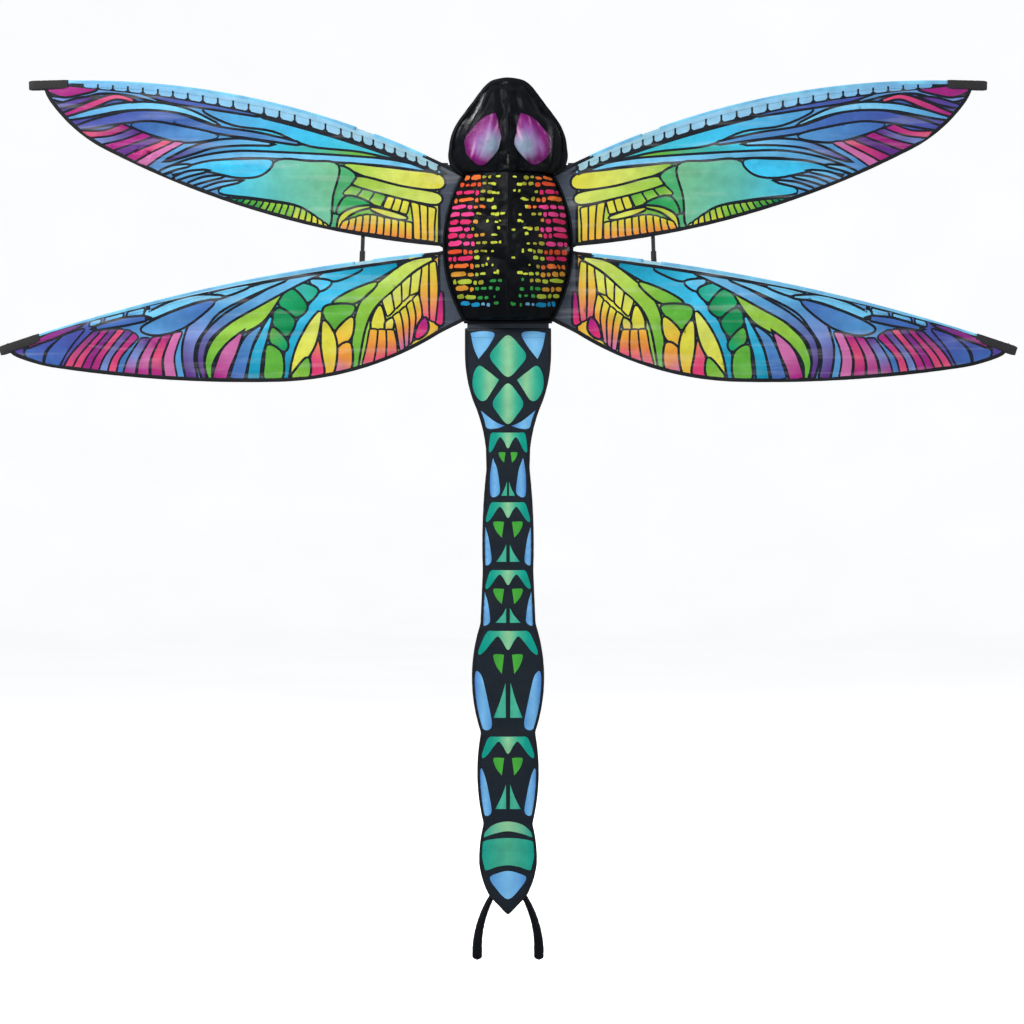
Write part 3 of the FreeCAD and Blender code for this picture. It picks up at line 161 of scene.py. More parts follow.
# ---------------------------------------------------------------------------------------------
# Meshes
# ---------------------------------------------------------------------------------------------
def mesh_object(name, verts, faces, smooth=True):
    mesh = bpy.data.meshes.new(name)
    mesh.from_pydata([tuple(v) for v in verts], [], [tuple(f) for f in faces])
    mesh.validate()
    if smooth:
        mesh.polygons.foreach_set("use_smooth", [True] * len(mesh.polygons))
    mesh.update()
    obj = bpy.data.objects.new(name, mesh)
    bpy.context.scene.collection.objects.link(obj)
    return obj


def apply_modifiers(obj):
    """Bakes an object's modifiers into its mesh."""
    bpy.context.view_layer.update()
    depsgraph = bpy.context.evaluated_depsgraph_get()
    mesh = bpy.data.meshes.new_from_object(obj.evaluated_get(depsgraph), depsgraph=depsgraph)
    obj.modifiers.clear()
    obj.data = mesh
    return obj


def thicken(obj, thickness, offset=0.0):
    modifier = obj.modifiers.new("Thickness", "SOLIDIFY")
    modifier.thickness = thickness
    modifier.offset = offset
    return apply_modifiers(obj)


def finish_piece(obj, finish, body, replaced=()):
    """Gives a piece its material, attaches it to its body or, when the body is a bend, bakes its place,
    and hides the CAD nodes that it stands for.
    """
    obj.data.materials.clear()
    obj.data.materials.append(MATERIALS[finish])
    if isinstance(body, str):
        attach(obj, body)
    else:
        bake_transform(obj)
    if replaced:
        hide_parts(*replaced)


def smooth_line(points, steps=6, closed=False):
    """A Catmull-Rom line through 2D or 3D points; a point given twice is a sharp corner."""
    points = [Vector(p) for p in points]
    count = len(points)
    if count < 3:
        return points
    line = []
    spans = count if closed else count - 1
    for n in range(spans):
        b, c = points[n], points[(n + 1) % count]
        if (c - b).length < 1e-9:
            continue
        a = points[(n - 1) % count] if closed or n > 0 else b
        d = points[(n + 2) % count] if closed or n + 2 < count else c
        for step in range(steps):
            t = step / steps
            bend = (c - a) * t + (a * 2 - b * 5 + c * 4 - d) * t * t + (b * 3 - a - c * 3 + d) * t ** 3
            line.append(b + bend * 0.5)
    if not closed:
        line.append(points[-1])
    return line


def resample(points, spacing):
    """The same line with points a given distance apart, or as near to it as its length allows."""
    points = [Vector(p) for p in points]
    along = [0.0]
    for a, b in zip(points, points[1:]):
        along.append(along[-1] + (b - a).length)
    count = max(2, round(along[-1] / spacing) + 1)
    wanted = np.linspace(0, along[-1], count)
    columns = [np.interp(wanted, along, [p[axis] for p in points]) for axis in range(len(points[0]))]
    return [Vector(values) for values in zip(*columns)]


def swept(name, line, ring, closed_ends=True, closed_line=False):
    """A tube along a line. ring(n, t) gives its section at point n as offsets (side, up) in metres.

    Side is across the line, in the plane of the sails; up is ahead of them.
    """
    line = [Vector(p) for p in line]
    count = len(line)
    verts = []
    for n, point in enumerate(line):
        before = line[n - 1] if n > 0 or closed_line else line[n]
        after = line[(n + 1) % count] if n < count - 1 or closed_line else line[n]
        along = (after - before).normalized()
        side = Vector((0, -1, 0)).cross(along)
        side = side.normalized() if side.length > 1e-6 else Vector((1, 0, 0))
        up = along.cross(side).normalized()
        if up.y > 0:
            up = -up
        verts += [point + side * s + up * u for s, u in ring(n, n / max(1, count - 1))]
    size = len(verts) // count
    faces = grid_faces(count, size, closed_line, wrap_columns=True)
    if closed_ends and not closed_line:
        faces.append(tuple(reversed(range(size))))
        faces.append(tuple((count - 1) * size + k for k in range(size)))
    obj = mesh_object(name, verts, faces)
    recalculate_normals(obj)
    return obj


def grid_faces(rows, columns, wrap_rows=False, wrap_columns=False, flipped=False, start=0):
    """Four-sided faces between rows of points that all have the same number of columns."""
    faces = []
    for n in range(rows if wrap_rows else rows - 1):
        m = (n + 1) % rows
        for k in range(columns if wrap_columns else columns - 1):
            j = (k + 1) % columns
            a, b, c, d = (start + r * columns + q for r, q in ((n, k), (n, j), (m, j), (m, k)))
            faces.append((a, d, c, b) if flipped else (a, b, c, d))
    return faces


def recalculate_normals(obj):
    work = bmesh.new()
    work.from_mesh(obj.data)
    bmesh.ops.recalc_face_normals(work, faces=work.faces)
    work.to_mesh(obj.data)
    work.free()


def ellipse(half_width, half_height, sides=12, square=1.0):
    """A closed oval section; square under 1 makes it boxier."""
    section = []
    for n in range(sides):
        turn = 2 * math.pi * n / sides
        c, s = math.cos(turn), math.sin(turn)
        section.append((
            half_width * math.copysign(abs(c) ** square, c),
            half_height * math.copysign(abs(s) ** square, s),
        ))
    return section


def join(name, objects):
    """Several meshes as one piece."""
    verts, faces = [], []
    for obj in objects:
        start = len(verts)
        verts += [v.co.copy() for v in obj.data.vertices]
        faces += [tuple(start + i for i in p.vertices) for p in obj.data.polygons]
        bpy.data.objects.remove(obj)
    return mesh_object(name, verts, faces)


STITCH_PITCH, STITCH_LENGTH, STITCH_RADIUS = 3.4 * MM, 2.3 * MM, 0.28 * MM


def sew(name, lines, body, lift=(0, -0.25 * MM, 0)):
    """Rows of raised thread, one small bead for each stitch."""
    verts, faces = [], []
    for line in lines:
        points = resample(line, STITCH_PITCH)
        for a, b in zip(points, points[1:]):
            along = (b - a).normalized() * (STITCH_LENGTH / 2)
            centre = (a + b) / 2 + Vector(lift)
            side = along.cross(Vector((0, 1, 0)))
            side = (side.normalized() if side.length > 1e-9 else Vector((1, 0, 0))) * STITCH_RADIUS
            up = side.cross(along).normalized() * STITCH_RADIUS
            start = len(verts)
            middle = [centre + side, centre + up, centre - side, centre - up]
            verts += [centre - along] + [p - along * 0.5 for p in middle]
            verts += [p + along * 0.5 for p in middle] + [centre + along]
            for k in range(4):
                j = (k + 1) % 4
                faces.append((start, start + 1 + j, start + 1 + k))
                faces.append((start + 1 + k, start + 1 + j, start + 5 + j, start + 5 + k))
                faces.append((start + 9, start + 5 + k, start + 5 + j))
    finish_piece(mesh_object(name, verts, faces), "thread", body)


# ---------------------------------------------------------------------------------------------
# Outlines read from the CAD nodes
# ---------------------------------------------------------------------------------------------
def spans(nodes, axis, values, other=None):
    """The lowest and highest of another coordinate where some nodes cross each value of one axis."""
    low = np.full(len(values), np.inf)
    high = np.full(len(values), -np.inf)
    other = 2 - axis if other is None else other
    for node in nodes:
        mesh = NODES[node].data
        points = np.array([v.co for v in mesh.vertices])
        edges = np.array([e.vertices for e in mesh.edges])
        a, b = points[edges[:, 0]], points[edges[:, 1]]
        for n, value in enumerate(values):
            crossing = (a[:, axis] - value) * (b[:, axis] - value) <= 0
            crossing &= np.abs(a[:, axis] - b[:, axis]) > 1e-9
            if crossing.any():
                p, q = a[crossing], b[crossing]
                share = (value - p[:, axis]) / (q[:, axis] - p[:, axis])
                at = p[:, other] + share * (q[:, other] - p[:, other])
                low[n] = min(low[n], at.min())
                high[n] = max(high[n], at.max())
    return low, high


def middle_y(node):
    low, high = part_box(node)
    return (low.y + high.y) / 2


class Curve:
    """A value read off along one coordinate."""

    def __init__(self, places, values):
        self.places = np.array(places)
        self.values = np.array(values)

    def __call__(self, place):
        return float(np.interp(place, self.places, self.values))


def side_of(node, heights):
    """How far a symmetric node reaches sideways at each height."""
    return Curve(heights, spans([node], 2, heights)[1])


# ---------------------------------------------------------------------------------------------
# Printing: closed regions painted on a sheet, later ones over earlier ones
# ---------------------------------------------------------------------------------------------
def colour(code):
    """A screen colour such as "48c8c0" as linear red, green and blue."""
    shares = [int(code[n:n + 2], 16) / 255 for n in (0, 2, 4)]
    return np.array([s / 12.92 if s <= 0.04045 else ((s + 0.055) / 1.055) ** 2.4 for s in shares])


INK = "1a202b"
# The least gap between a print's inner points and its painted edges, as a share of their spacing.
EDGE_GAP = 0.1


def area_of(points):
    return sum(a[0] * b[1] - b[0] * a[1] for a, b in zip(points, points[1:] + points[:1])) / 2


def inside(points, x, y):
    """Which of many places lie in a closed outline."""
    result = np.zeros(len(x), bool)
    for (ax, ay), (bx, by) in zip(points, points[1:] + points[:1]):
        if ay != by:
            crossing = ((ay > y) != (by > y)) & (x < (bx - ax) * (y - ay) / (by - ay) + ax)
            result ^= crossing
    return result


def clear_of(points, outline, gap):
    """True for each point that keeps the gap from a closed outline's edges."""
    starts = np.array(outline)
    steps = np.roll(starts, -1, axis=0) - starts
    lengths = np.maximum((steps ** 2).sum(axis=1), 1e-12)
    apart = points[:, None] - starts
    along = np.clip((apart * steps).sum(axis=2) / lengths, 0, 1)
    gaps = np.linalg.norm(apart - along[..., None] * steps, axis=2)
    return gaps.min(axis=1) > gap


class Print:
    def __init__(self, outline, ground=INK):
        self.regions = []
        self.region(outline, (ground,))
        self.outline = self.regions[0][0]

    def region(self, points, colours, line=None):
        """Paints a closed outline. Colours run evenly along line, a pair of places."""
        points = [(float(p[0]), float(p[1])) for p in points]
        if area_of(points) < 0:
            points.reverse()
        stops = [colour(code) for code in colours]
        self.regions.append((points, stops, line))

    def mesh(self, name, place, spacing):
        """Cuts the sheet along every painted edge and puts each corner where place(x, y) says."""
        verts, faces = [], []
        for points, _, _ in self.regions:
            start = len(verts)
            verts += [Vector(p) for p in points]
            faces.append(list(range(start, start + len(points))))
        xs, ys = zip(*self.outline)
        gx, gy = np.meshgrid(np.arange(min(xs), max(xs), spacing), np.arange(min(ys), max(ys), spacing))
        gx[1::2] += spacing / 2
        gx, gy = gx.ravel(), gy.ravel()
        kept = inside(self.outline, gx, gy)
        grid = np.column_stack([gx[kept], gy[kept]])
        for points, _, _ in self.regions:
            grid = grid[clear_of(grid, points, spacing * EDGE_GAP)]
        verts += [Vector(spot) for spot in grid]
        flat, _, cells, _, _, sources = delaunay_2d_cdt(verts, [], faces, 1, 1e-6)
        kept_cells = [(cell, max(source)) for cell, source in zip(cells, sources) if 0 in source]
        obj = mesh_object(name, [place(p.x, p.y) for p in flat], [cell for cell, _ in kept_cells])
        mesh = obj.data
        if len(mesh.polygons) != len(kept_cells):
            raise RuntimeError(f"{name}: the printed sheet lost faces")
        paint = mesh.color_attributes.new("paint", "FLOAT_COLOR", "CORNER")
        shades = np.ones((len(mesh.loops), 4))
        for polygon, (cell, source) in zip(mesh.polygons, kept_cells):
            for loop, corner in zip(polygon.loop_indices, polygon.vertices):
                shades[loop, :3] = self.shade(source, flat[corner])
        paint.data.foreach_set("color", shades.ravel())
        return obj

    def shade(self, number, point):
        _, stops, line = self.regions[number]
        if len(stops) == 1 or line is None:
            return stops[0]
        (ax, ay), (bx, by) = line
        dx, dy = bx - ax, by - ay
        t = ((point.x - ax) * dx + (point.y - ay) * dy) / (dx * dx + dy * dy)
        t = min(max(t, 0), 1) * (len(stops) - 1)
        first = min(int(t), len(stops) - 2)
        return stops[first] + (stops[first + 1] - stops[first]) * (t - first)


# ---------------------------------------------------------------------------------------------
# Materials
# ---------------------------------------------------------------------------------------------
class Shader:
    """A few node-building steps that every material shares."""

    def __init__(self, name):
        self.material = bpy.data.materials.new(name)
        self.material.use_nodes = True
        self.tree = self.material.node_tree
        self.bsdf = self.tree.nodes["Principled BSDF"]
        self.output = self.tree.nodes["Material Output"]
        self.coordinates = self.add("ShaderNodeTexCoord").outputs["Object"]

    def add(self, kind, **settings):
        node = self.tree.nodes.new(kind)
        for key, value in settings.items():
            setattr(node, key, value)
        return node

    def link(self, source, target):
        self.tree.links.new(source, target)
        return target.node

    def noise(self, scale, detail=3.0, stretch=(1, 1, 1)):
        node = self.add("ShaderNodeTexNoise")
        node.inputs["Scale"].default_value = scale
        node.inputs["Detail"].default_value = detail
        place = self.add("ShaderNodeMapping")
        place.inputs["Scale"].default_value = stretch
        self.link(self.coordinates, place.inputs["Vector"])
        self.link(place.outputs["Vector"], node.inputs["Vector"])
        return node.outputs["Fac"]

    def threads(self, pitch, direction):
        """Even bands, one for each thread, across one direction."""
        node = self.add("ShaderNodeTexWave", bands_direction=direction, wave_profile="SIN")
        node.inputs["Scale"].default_value = 0.31416 / pitch
        node.inputs["Distortion"].default_value = 0.0
        self.link(self.coordinates, node.inputs["Vector"])
        return node.outputs["Fac"]

    def maths(self, operation, a, b):
        node = self.add("ShaderNodeMath", operation=operation)
        for socket, value in zip(node.inputs, (a, b)):
            if isinstance(value, (int, float)):
                socket.default_value = value
            else:
                self.link(value, socket)
        return node.outputs[0]

    def spread(self, value, low, high, new_low, new_high):
        node = self.add("ShaderNodeMapRange")
        self.link(value, node.inputs["Value"])
        for name, number in zip(("From Min", "From Max", "To Min", "To Max"),
                                (low, high, new_low, new_high)):
            node.inputs[name].default_value = number
        return node.outputs["Result"]

    def tint(self, base, other, amount):
        """Mixes two colours; amount is a socket from 0 to 1."""
        node = self.add("ShaderNodeMix", data_type="RGBA")
        self.link(amount, node.inputs["Factor"])
        for socket, value in ((node.inputs[6], base), (node.inputs[7], other)):
            if isinstance(value, tuple):
                socket.default_value = (*value, 1)
            else:
                self.link(value, socket)
        return node.outputs[2]

    def scaled(self, base, amount):
        """A colour made lighter or darker by a socket."""
        node = self.add("ShaderNodeVectorMath", operation="SCALE")
        self.link(base, node.inputs[0])
        self.link(amount, node.inputs["Scale"])
        return node.outputs[0]

    def bump(self, height, distance, strength=1.0, before=None):
        node = self.add("ShaderNodeBump")
        node.inputs["Strength"].default_value = strength
        node.inputs["Distance"].default_value = distance
        self.link(height, node.inputs["Height"])
        if before is not None:
            self.link(before, node.inputs["Normal"])
        return node.outputs["Normal"]

    def set(self, **values):
        for name, value in values.items():
            self.bsdf.inputs[name.replace("_", " ")].default_value = value


def plain_colour(code):
    return tuple(float(v) for v in colour(code))


def stage_material():
    shader = Shader("pale_floor")
    shader.set(Roughness=0.9)
    shade = shader.tint(plain_colour("f4f4f4"), plain_colour("eeeeef"), shader.noise(1.5))
    shader.link(shade, shader.bsdf.inputs["Base Color"])
    shader.link(shade, shader.bsdf.inputs["Emission Color"])
    shader.set(Emission_Strength=0.7)
    return shader.material


RIPSTOP = 5.5 * MM
TONE = 0.12


def cloth_material(name, code, roughness, sheen, ripstop=0.0, crumple=0.5 * MM, pitch=0.8 * MM,
                   glow=0.0, gloss_level=0.2, streaks=0.0):
    """Woven cloth. Without a colour code it shows the colours printed on the mesh. Streaks sets how
    strongly painted sheen, lengthwise light streaks mixed towards white, is put into its colour.
    """
    shader = Shader(name)
    if code is None:
        base = shader.add("ShaderNodeVertexColor", layer_name="paint").outputs["Color"]
    else:
        flat = plain_colour(code)
        lighter = tuple(min(1.0, v * 1.5 + 0.004) for v in flat)
        base = shader.tint(flat, lighter, shader.spread(shader.noise(22), 0.35, 0.7, 0, 1))
    # Painted sheen: lengthwise streaks of noise mix the colour towards white, standing in for highlights
    # on the cloth's shine.
    if streaks:
        streak = shader.noise(1.0, 3.0, (6, 1, 70))
        base = shader.tint(base, plain_colour("ffffff"), shader.spread(streak, 0.52, 0.75, 0, streaks))
    weave = shader.maths("MULTIPLY", shader.threads(pitch, "X"), shader.threads(pitch, "Z"))
    mottle = shader.spread(shader.noise(60, 5.0), 0.3, 0.7, 1 - TONE, 1 + TONE * 0.6)
    grain = shader.maths("MULTIPLY", mottle, shader.spread(weave, 0, 1, 0.94, 1.05))
    shader.link(shader.scaled(base, grain), shader.bsdf.inputs["Base Color"])
    gloss = shader.spread(shader.noise(14), 0.3, 0.7, roughness - 0.06, roughness + 0.08)
    shader.link(gloss, shader.bsdf.inputs["Roughness"])
    shader.set(Sheen_Weight=sheen, Sheen_Roughness=0.4, Specular_IOR_Level=gloss_level)
    normal = shader.bump(shader.noise(75, 4.0), crumple, 0.6)
    if ripstop:
        ribs = shader.maths(
            "MAXIMUM",
            shader.spread(shader.threads(ripstop, "X"), 0.93, 1, 0, 1),
            shader.spread(shader.threads(ripstop, "Z"), 0.93, 1, 0, 1),
        )
        normal = shader.bump(ribs, 0.15 * MM, 0.8, normal)
    normal = shader.bump(weave, 0.12 * MM, 0.6, normal)
    shader.link(normal, shader.bsdf.inputs["Normal"])
    if glow:
        through = shader.add("ShaderNodeBsdfTranslucent")
        shader.link(base, through.inputs["Color"])
        mix = shader.add("ShaderNodeMixShader")
        mix.inputs["Fac"].default_value = glow
        shader.link(shader.bsdf.outputs[0], mix.inputs[1])
        shader.link(through.outputs[0], mix.inputs[2])
        shader.link(mix.outputs[0], shader.output.inputs["Surface"])
    return shader.material


def webbing_material():
    """Coarse ribbed tape."""
    shader = Shader("webbing")
    ribs = shader.maths("MULTIPLY", shader.threads(1.5 * MM, "DIAGONAL"), shader.threads(1.9 * MM, "Z"))
    shade = shader.tint(plain_colour("0c0c0e"), plain_colour("2b2b30"), ribs)
    shader.link(shade, shader.bsdf.inputs["Base Color"])
    shader.set(Roughness=0.72, Sheen_Weight=0.3, Sheen_Roughness=0.5)
    normal = shader.bump(ribs, 0.35 * MM, 0.9, shader.bump(shader.noise(90), 0.2 * MM, 0.5))
    shader.link(normal, shader.bsdf.inputs["Normal"])
    return shader.material


def rod_material(name, code, roughness, coat):
    """A pultruded rod: faint lengthwise streaks and small scuffs."""
    shader = Shader(name)
    streaks = shader.noise(420, 2.0)
    scuffs = shader.spread(shader.noise(35, 6.0), 0.58, 0.75, 0, 1)
    flat = plain_colour(code)
    worn = tuple(v * 2.2 + 0.02 for v in flat)
    shade = shader.tint(flat, worn, shader.maths("MULTIPLY", streaks, scuffs))
    shader.link(shade, shader.bsdf.inputs["Base Color"])
    shader.link(shader.spread(streaks, 0.3, 0.7, roughness - 0.06, roughness + 0.1),
                shader.bsdf.inputs["Roughness"])
    shader.set(Coat_Weight=coat, Coat_Roughness=0.2)
    shader.link(shader.bump(shader.threads(1.1 * MM, "DIAGONAL"), 0.04 * MM, 0.4),
                shader.bsdf.inputs["Normal"])
    return shader.material


def plastic_material(name, code, roughness):
    """Moulded plastic: fine grain and handling marks."""
    shader = Shader(name)
    marks = shader.spread(shader.noise(160, 6.0), 0.5, 0.8, 0, 1)
    flat = plain_colour(code)
    shade = shader.tint(flat, tuple(v * 1.7 + 0.012 for v in flat), marks)
    shader.link(shade, shader.bsdf.inputs["Base Color"])
    gloss = shader.spread(shader.noise(220, 3.0), 0.3, 0.7, roughness - 0.08, roughness + 0.1)
    shader.link(gloss, shader.bsdf.inputs["Roughness"])
    shader.link(shader.bump(shader.noise(900, 2.0), 0.06 * MM, 0.5), shader.bsdf.inputs["Normal"])
    return shader.material


def metal_material(name, code, roughness):
    """Drawn metal with fine turning lines and a little tarnish."""
    shader = Shader(name)
    tarnish = shader.spread(shader.noise(240, 5.0), 0.45, 0.75, 0, 1)
    flat = plain_colour(code)
    shade = shader.tint(flat, tuple(v * 0.55 for v in flat), tarnish)
    shader.link(shade, shader.bsdf.inputs["Base Color"])
    gloss = shader.spread(shader.noise(500, 2.0), 0.3, 0.7, roughness - 0.06, roughness + 0.12)
    shader.link(gloss, shader.bsdf.inputs["Roughness"])
    shader.set(Metallic=1.0)
    shader.link(shader.bump(shader.threads(0.5 * MM, "Z"), 0.02 * MM, 0.5), shader.bsdf.inputs["Normal"])
    return shader.material


# ---------------------------------------------------------------------------------------------
# Wings
# ---------------------------------------------------------------------------------------------
HINGE_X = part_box("left_forewing_root_panel")[0].x
SAIL_Y = middle_y("left_forewing_sail")
SPAR_Y = middle_y("left_forewing_spar")
SPAR_INSET = 6.2 * MM
BEND_START = HINGE_X - 12 * MM
BEND_END = HINGE_X + 12 * MM
ROOT_TOP = {"fore": -18 * MM, "hind": -152 * MM}
ROOT_BOTTOM = {"fore": -143 * MM, "hind": -270 * MM}

thorax_heights = np.linspace(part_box("thorax_piping")[0].z + 0.1 * MM, -16.5 * MM, 90)
thorax_side = side_of("thorax_piping", thorax_heights)


class WingShape:
    """A left wing's outline. A place on it is (u, v), percent out from its root and down its chord."""

    def __init__(self, wing):
        self.wing = wing
        low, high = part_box(f"left_{wing}wing_binding")
        self.root_x, self.tip_x = low.x, high.x
        xs = np.linspace(low.x + 0.2 * MM, high.x - 0.2 * MM, 260)
        bottom, top = spans([f"left_{wing}wing_binding"], 0, xs)
        self.top, self.bottom = Curve(xs, top), Curve(xs, bottom)

    def at(self, u, v):
        x = self.root_x + (self.tip_x - self.root_x) * u / 100
        top, bottom = self.top(x), self.bottom(x)
        return Vector((x, top - (top - bottom) * v / 100))

    def top_line(self, start_x, end_x, inset=0.0, step=6 * MM):
        count = max(2, round((end_x - start_x) / step))
        return [Vector((x, self.top(x) - inset)) for x in np.linspace(start_x, end_x, count)]

    def root_corner(self, upper):
        z = (ROOT_TOP if upper else ROOT_BOTTOM)[self.wing]
        return Vector((thorax_side(z) - 4 * MM, z))

    def bottom_line(self, inset=0.0, step=6 * MM):
        """The trailing edge, from the thorax to the tip."""
        count = round((self.tip_x - self.root_x) / step)
        xs = np.linspace(self.root_x, self.tip_x - 0.5 * MM, count)
        return [self.root_corner(False)] + [Vector((x, self.bottom(x) + inset)) for x in xs]

    def outline(self):
        """The whole sheet: leading edge, tip, trailing edge and the seam at the thorax."""
        top = self.top_line(self.root_x, self.tip_x - 0.5 * MM, 1 * MM)
        seam_heights = np.linspace(ROOT_BOTTOM[self.wing], ROOT_TOP[self.wing], 14)[1:-1]
        seam = [Vector((thorax_side(z) - 4 * MM, z)) for z in seam_heights]
        return [self.root_corner(True)] + top + self.bottom_line(1 * MM)[::-1] + seam

    def depth(self, x, z, seed):
        """How far the cloth stands from its flat plane: a soft belly and small pulls at the hem."""
        top, bottom = self.top(x), self.bottom(x)
        v = min(max((top - z) / max(top - bottom, MM), 0), 1)
        u = min(max((x - self.root_x) / (self.tip_x - self.root_x), 0), 1)
        loose = min(1.0, u * 9) * min(1.0, (1 - u) * 7)
        belly = 3.2 * MM * math.sin(math.pi * v) * loose
        pull = rumple(x * 34 + seed, z * 7, seed)
        hem = 2.4 * MM * pull * v ** 2 * (1 - v) ** 0.5 * loose
        drift = rumple(x * 9 + seed, z * 14, seed * 2) * 1.3 * MM * math.sin(math.pi * v) * loose
        gather = 6.3 * MM * rumple(x * 60 + seed, 3, seed) * (1 - v) ** 6 * v * loose
        stretch = rumple(x * 5 + seed, (z + x * 0.12) * 44, seed) * 5.6 * MM
        stretch *= math.sin(math.pi * v) * loose
        return -(belly + hem + drift + gather + stretch)


WING_SHAPES = {wing: WingShape(wing) for wing in ("fore", "hind")}


def grown(outline, amount):
    """A closed outline moved outwards by an amount."""
    points = [Vector((p[0], p[1])) for p in outline]
    points = [p for n, p in enumerate(points) if (p - points[n - 1]).length > 0.2 * MM]
    turn = 1 if area_of(points) > 0 else -1
    moved = []
    for n, point in enumerate(points):
        along = points[(n + 1) % len(points)] - points[n - 1]
        moved.append(point + Vector((along.y, -along.x)).normalized() * amount * turn)
    return moved


def rounded(outline, share):
    """A closed outline with its four sharpest corners cut back a little."""
    points = [Vector((p[0], p[1])) for p in outline]
    count = len(points)

    def turn_at(n):
        return (points[n] - points[n - 1]).angle(points[(n + 1) % count] - points[n], 0)

    corners = set(sorted(range(count), key=turn_at)[-4:])
    result = []
    for n, point in enumerate(points):
        if n not in corners:
            result.append(point)
            continue
        before, after = points[n - 1], points[(n + 1) % count]
        reach = min((before - point).length, (after - point).length, 4 * MM) * 0.75 + 0.2 * MM
        a = point + (before - point).normalized() * reach
        b = point + (after - point).normalized() * reach
        result += [a, point.lerp((a + b) / 2, share), b]
    return result


VEIN = 4.4 * MM
ROW_VEIN = 3.5 * MM
VEIN_POINT = 15 * MM


def band(line):
    """The outline of a strip along a flat line, whose third coordinate is the strip's width."""
    left, right = [], []
    for n, point in enumerate(line):
        along = line[min(n + 1, len(line) - 1)] - line[max(n - 1, 0)]
        side = Vector((-along.y, along.x)).normalized() * point.z / 2
        left.append(point.xy + side)
        right.append(point.xy - side)
    return left + right[::-1]


class WingArt:
    """Draws veined cells on a wing's print. Every part is laid by a simple rule: leaf, ribbon or row."""

    def __init__(self, shape):
        self.shape = shape
        self.print = Print(shape.outline())
        ends = Vector((shape.root_x, 0)), Vector((shape.tip_x, 0))
        self.print.region(shape.outline(), GROUND[shape.wing], ends)
        panel_x = shape.root_x - 1 * MM
        low, high = ROOT_BOTTOM[shape.wing] * 1.2, ROOT_TOP[shape.wing] + 40 * MM
        for end, shade in ((panel_x + 5 * MM, INK), (panel_x, "4c5462")):
            self.print.region([(0, low), (end, low), (end, high), (0, high)], (shade,))

    def place(self, points):
        return [self.shape.at(p[0], p[1]) for p in points]

    def cell(self, outline, shades, line, vein=VEIN):
        """A coloured shape inside its black vein."""
        self.print.region(grown(outline, vein), (INK,))
        self.print.region(outline, shades, line)

    def leaf(self, shades, *points):
        outline = smooth_line(self.place(points), 5, closed=True)
        start = outline[0]
        far = max(outline, key=lambda p: (p - start).length)
        self.cell(outline, shades, (start, far))

    def ribbon(self, shades, *points):
        """A tapering band along points of (u, v, width in millimetres), its vein drawn out to points."""
        line = [Vector((*self.shape.at(u, v), width * MM)) for u, v, width in points]
        line = smooth_line(line, 6)
        vein = [Vector((p.x, p.y, p.z + 2 * VEIN)) for p in line]
        for end, before, at in ((line[0], line[1], 0), (line[-1], line[-2], len(vein) + 1)):
            point = end.xy + (end.xy - before.xy).normalized() * VEIN_POINT
            vein.insert(at, Vector((*point, 0)))
        self.print.region(band(vein), (INK,))
        self.print.region(band(line), shades, (line[0].xy, line[-1].xy))

    def row(self, shades, count, gap, *lines):
        """Cells side by side, each running from the first guide line to the last one."""
        guides = []
        for line in lines:
            points = smooth_line(self.place(line), 6)
            along = np.cumsum([0.0] + [(b - a).length for a, b in zip(points, points[1:])])
            share = along / along[-1]
            guides.append((Curve(share, [p.x for p in points]), Curve(share, [p.y for p in points])))
        for n in range(count):
            start, end = (n + gap) / count, (n + 1 - gap) / count
            middle = (start + end) / 2
            right = smooth_line([(gx(end), gy(end)) for gx, gy in guides], 5)
            left = smooth_line([(gx(start), gy(start)) for gx, gy in guides], 5)
            top, bottom = (Vector((gx(middle), gy(middle))) for gx, gy in (guides[0], guides[-1]))
            outline = rounded(right + left[::-1], 0.3)
            shade = shades[round(n * (len(shades) - 1) / max(1, count - 1))]
            self.cell(outline, shade, (top, bottom), ROW_VEIN)


SKY, BLUE, DEEP, INDIGO = "78d0f8", "5ca4de", "4470be", "4c52ac"
CYAN, TEAL, SEA = "42d0fa", "40c0bc", "009abe"
LIME, LEAF, GREEN = "a0d448", "66bc40", "009456"
YELLOW, PALE, AMBER, ORANGE = "e8e44c", "e2ee70", "f6bc40", "f49842"
PINK, ROSE, MAGENTA, PURPLE, LILAC = "d874b4", "ec5480", "b02088", "66348e", "7e98da"
GROUND = {
    "fore": (YELLOW, LIME, LEAF, TEAL, CYAN, BLUE, BLUE, DEEP, INDIGO, PURPLE),
    "hind": (AMBER, YELLOW, LIME, LEAF, SEA, SEA, BLUE, BLUE, BLUE, DEEP, INDIGO, PURPLE, INDIGO),
}


STRIP = "a8d4e0", "9cd6f6", "90cef4", "70b8ec"


def leading_strip(art, depth, start, end, tiles, band_end, band_depth, edge):
    """The light strip along the leading edge, cut into tiles at its lower side, over a black band.

    The band is band_depth deep as far as band_end, and from there it only edges the strip.
    """
    steps = 40
    line = [start + (end - start) * n / steps for n in range(steps + 1)]
    upper = [(u, -1) for u in line]
    lower = [(u, band_depth if u < band_end else depth + edge) for u in line]
    art.print.region(art.place(upper + lower[::-1]), (INK,))
    solid = depth * 0.45 if tiles else depth
    strip = art.place(upper + [(u, solid) for u in reversed(line)])
    ends = strip[0], strip[steps]
    art.print.region(strip, STRIP, ends)
    for first, last, count in tiles:
        for n in range(count):
            a, b = (first + (last - first) * (n + k) / count + 0.25 - 0.5 * k for k in (0, 1))
            tile = [(a, 0.3), (b, 0.3), (b, 0.85), (b - 0.5, 1), (a + 0.5, 1), (a, 0.85)]
            tile = art.place([(u, share * depth) for u, share in tile])
            art.print.region(tile, STRIP, ends)


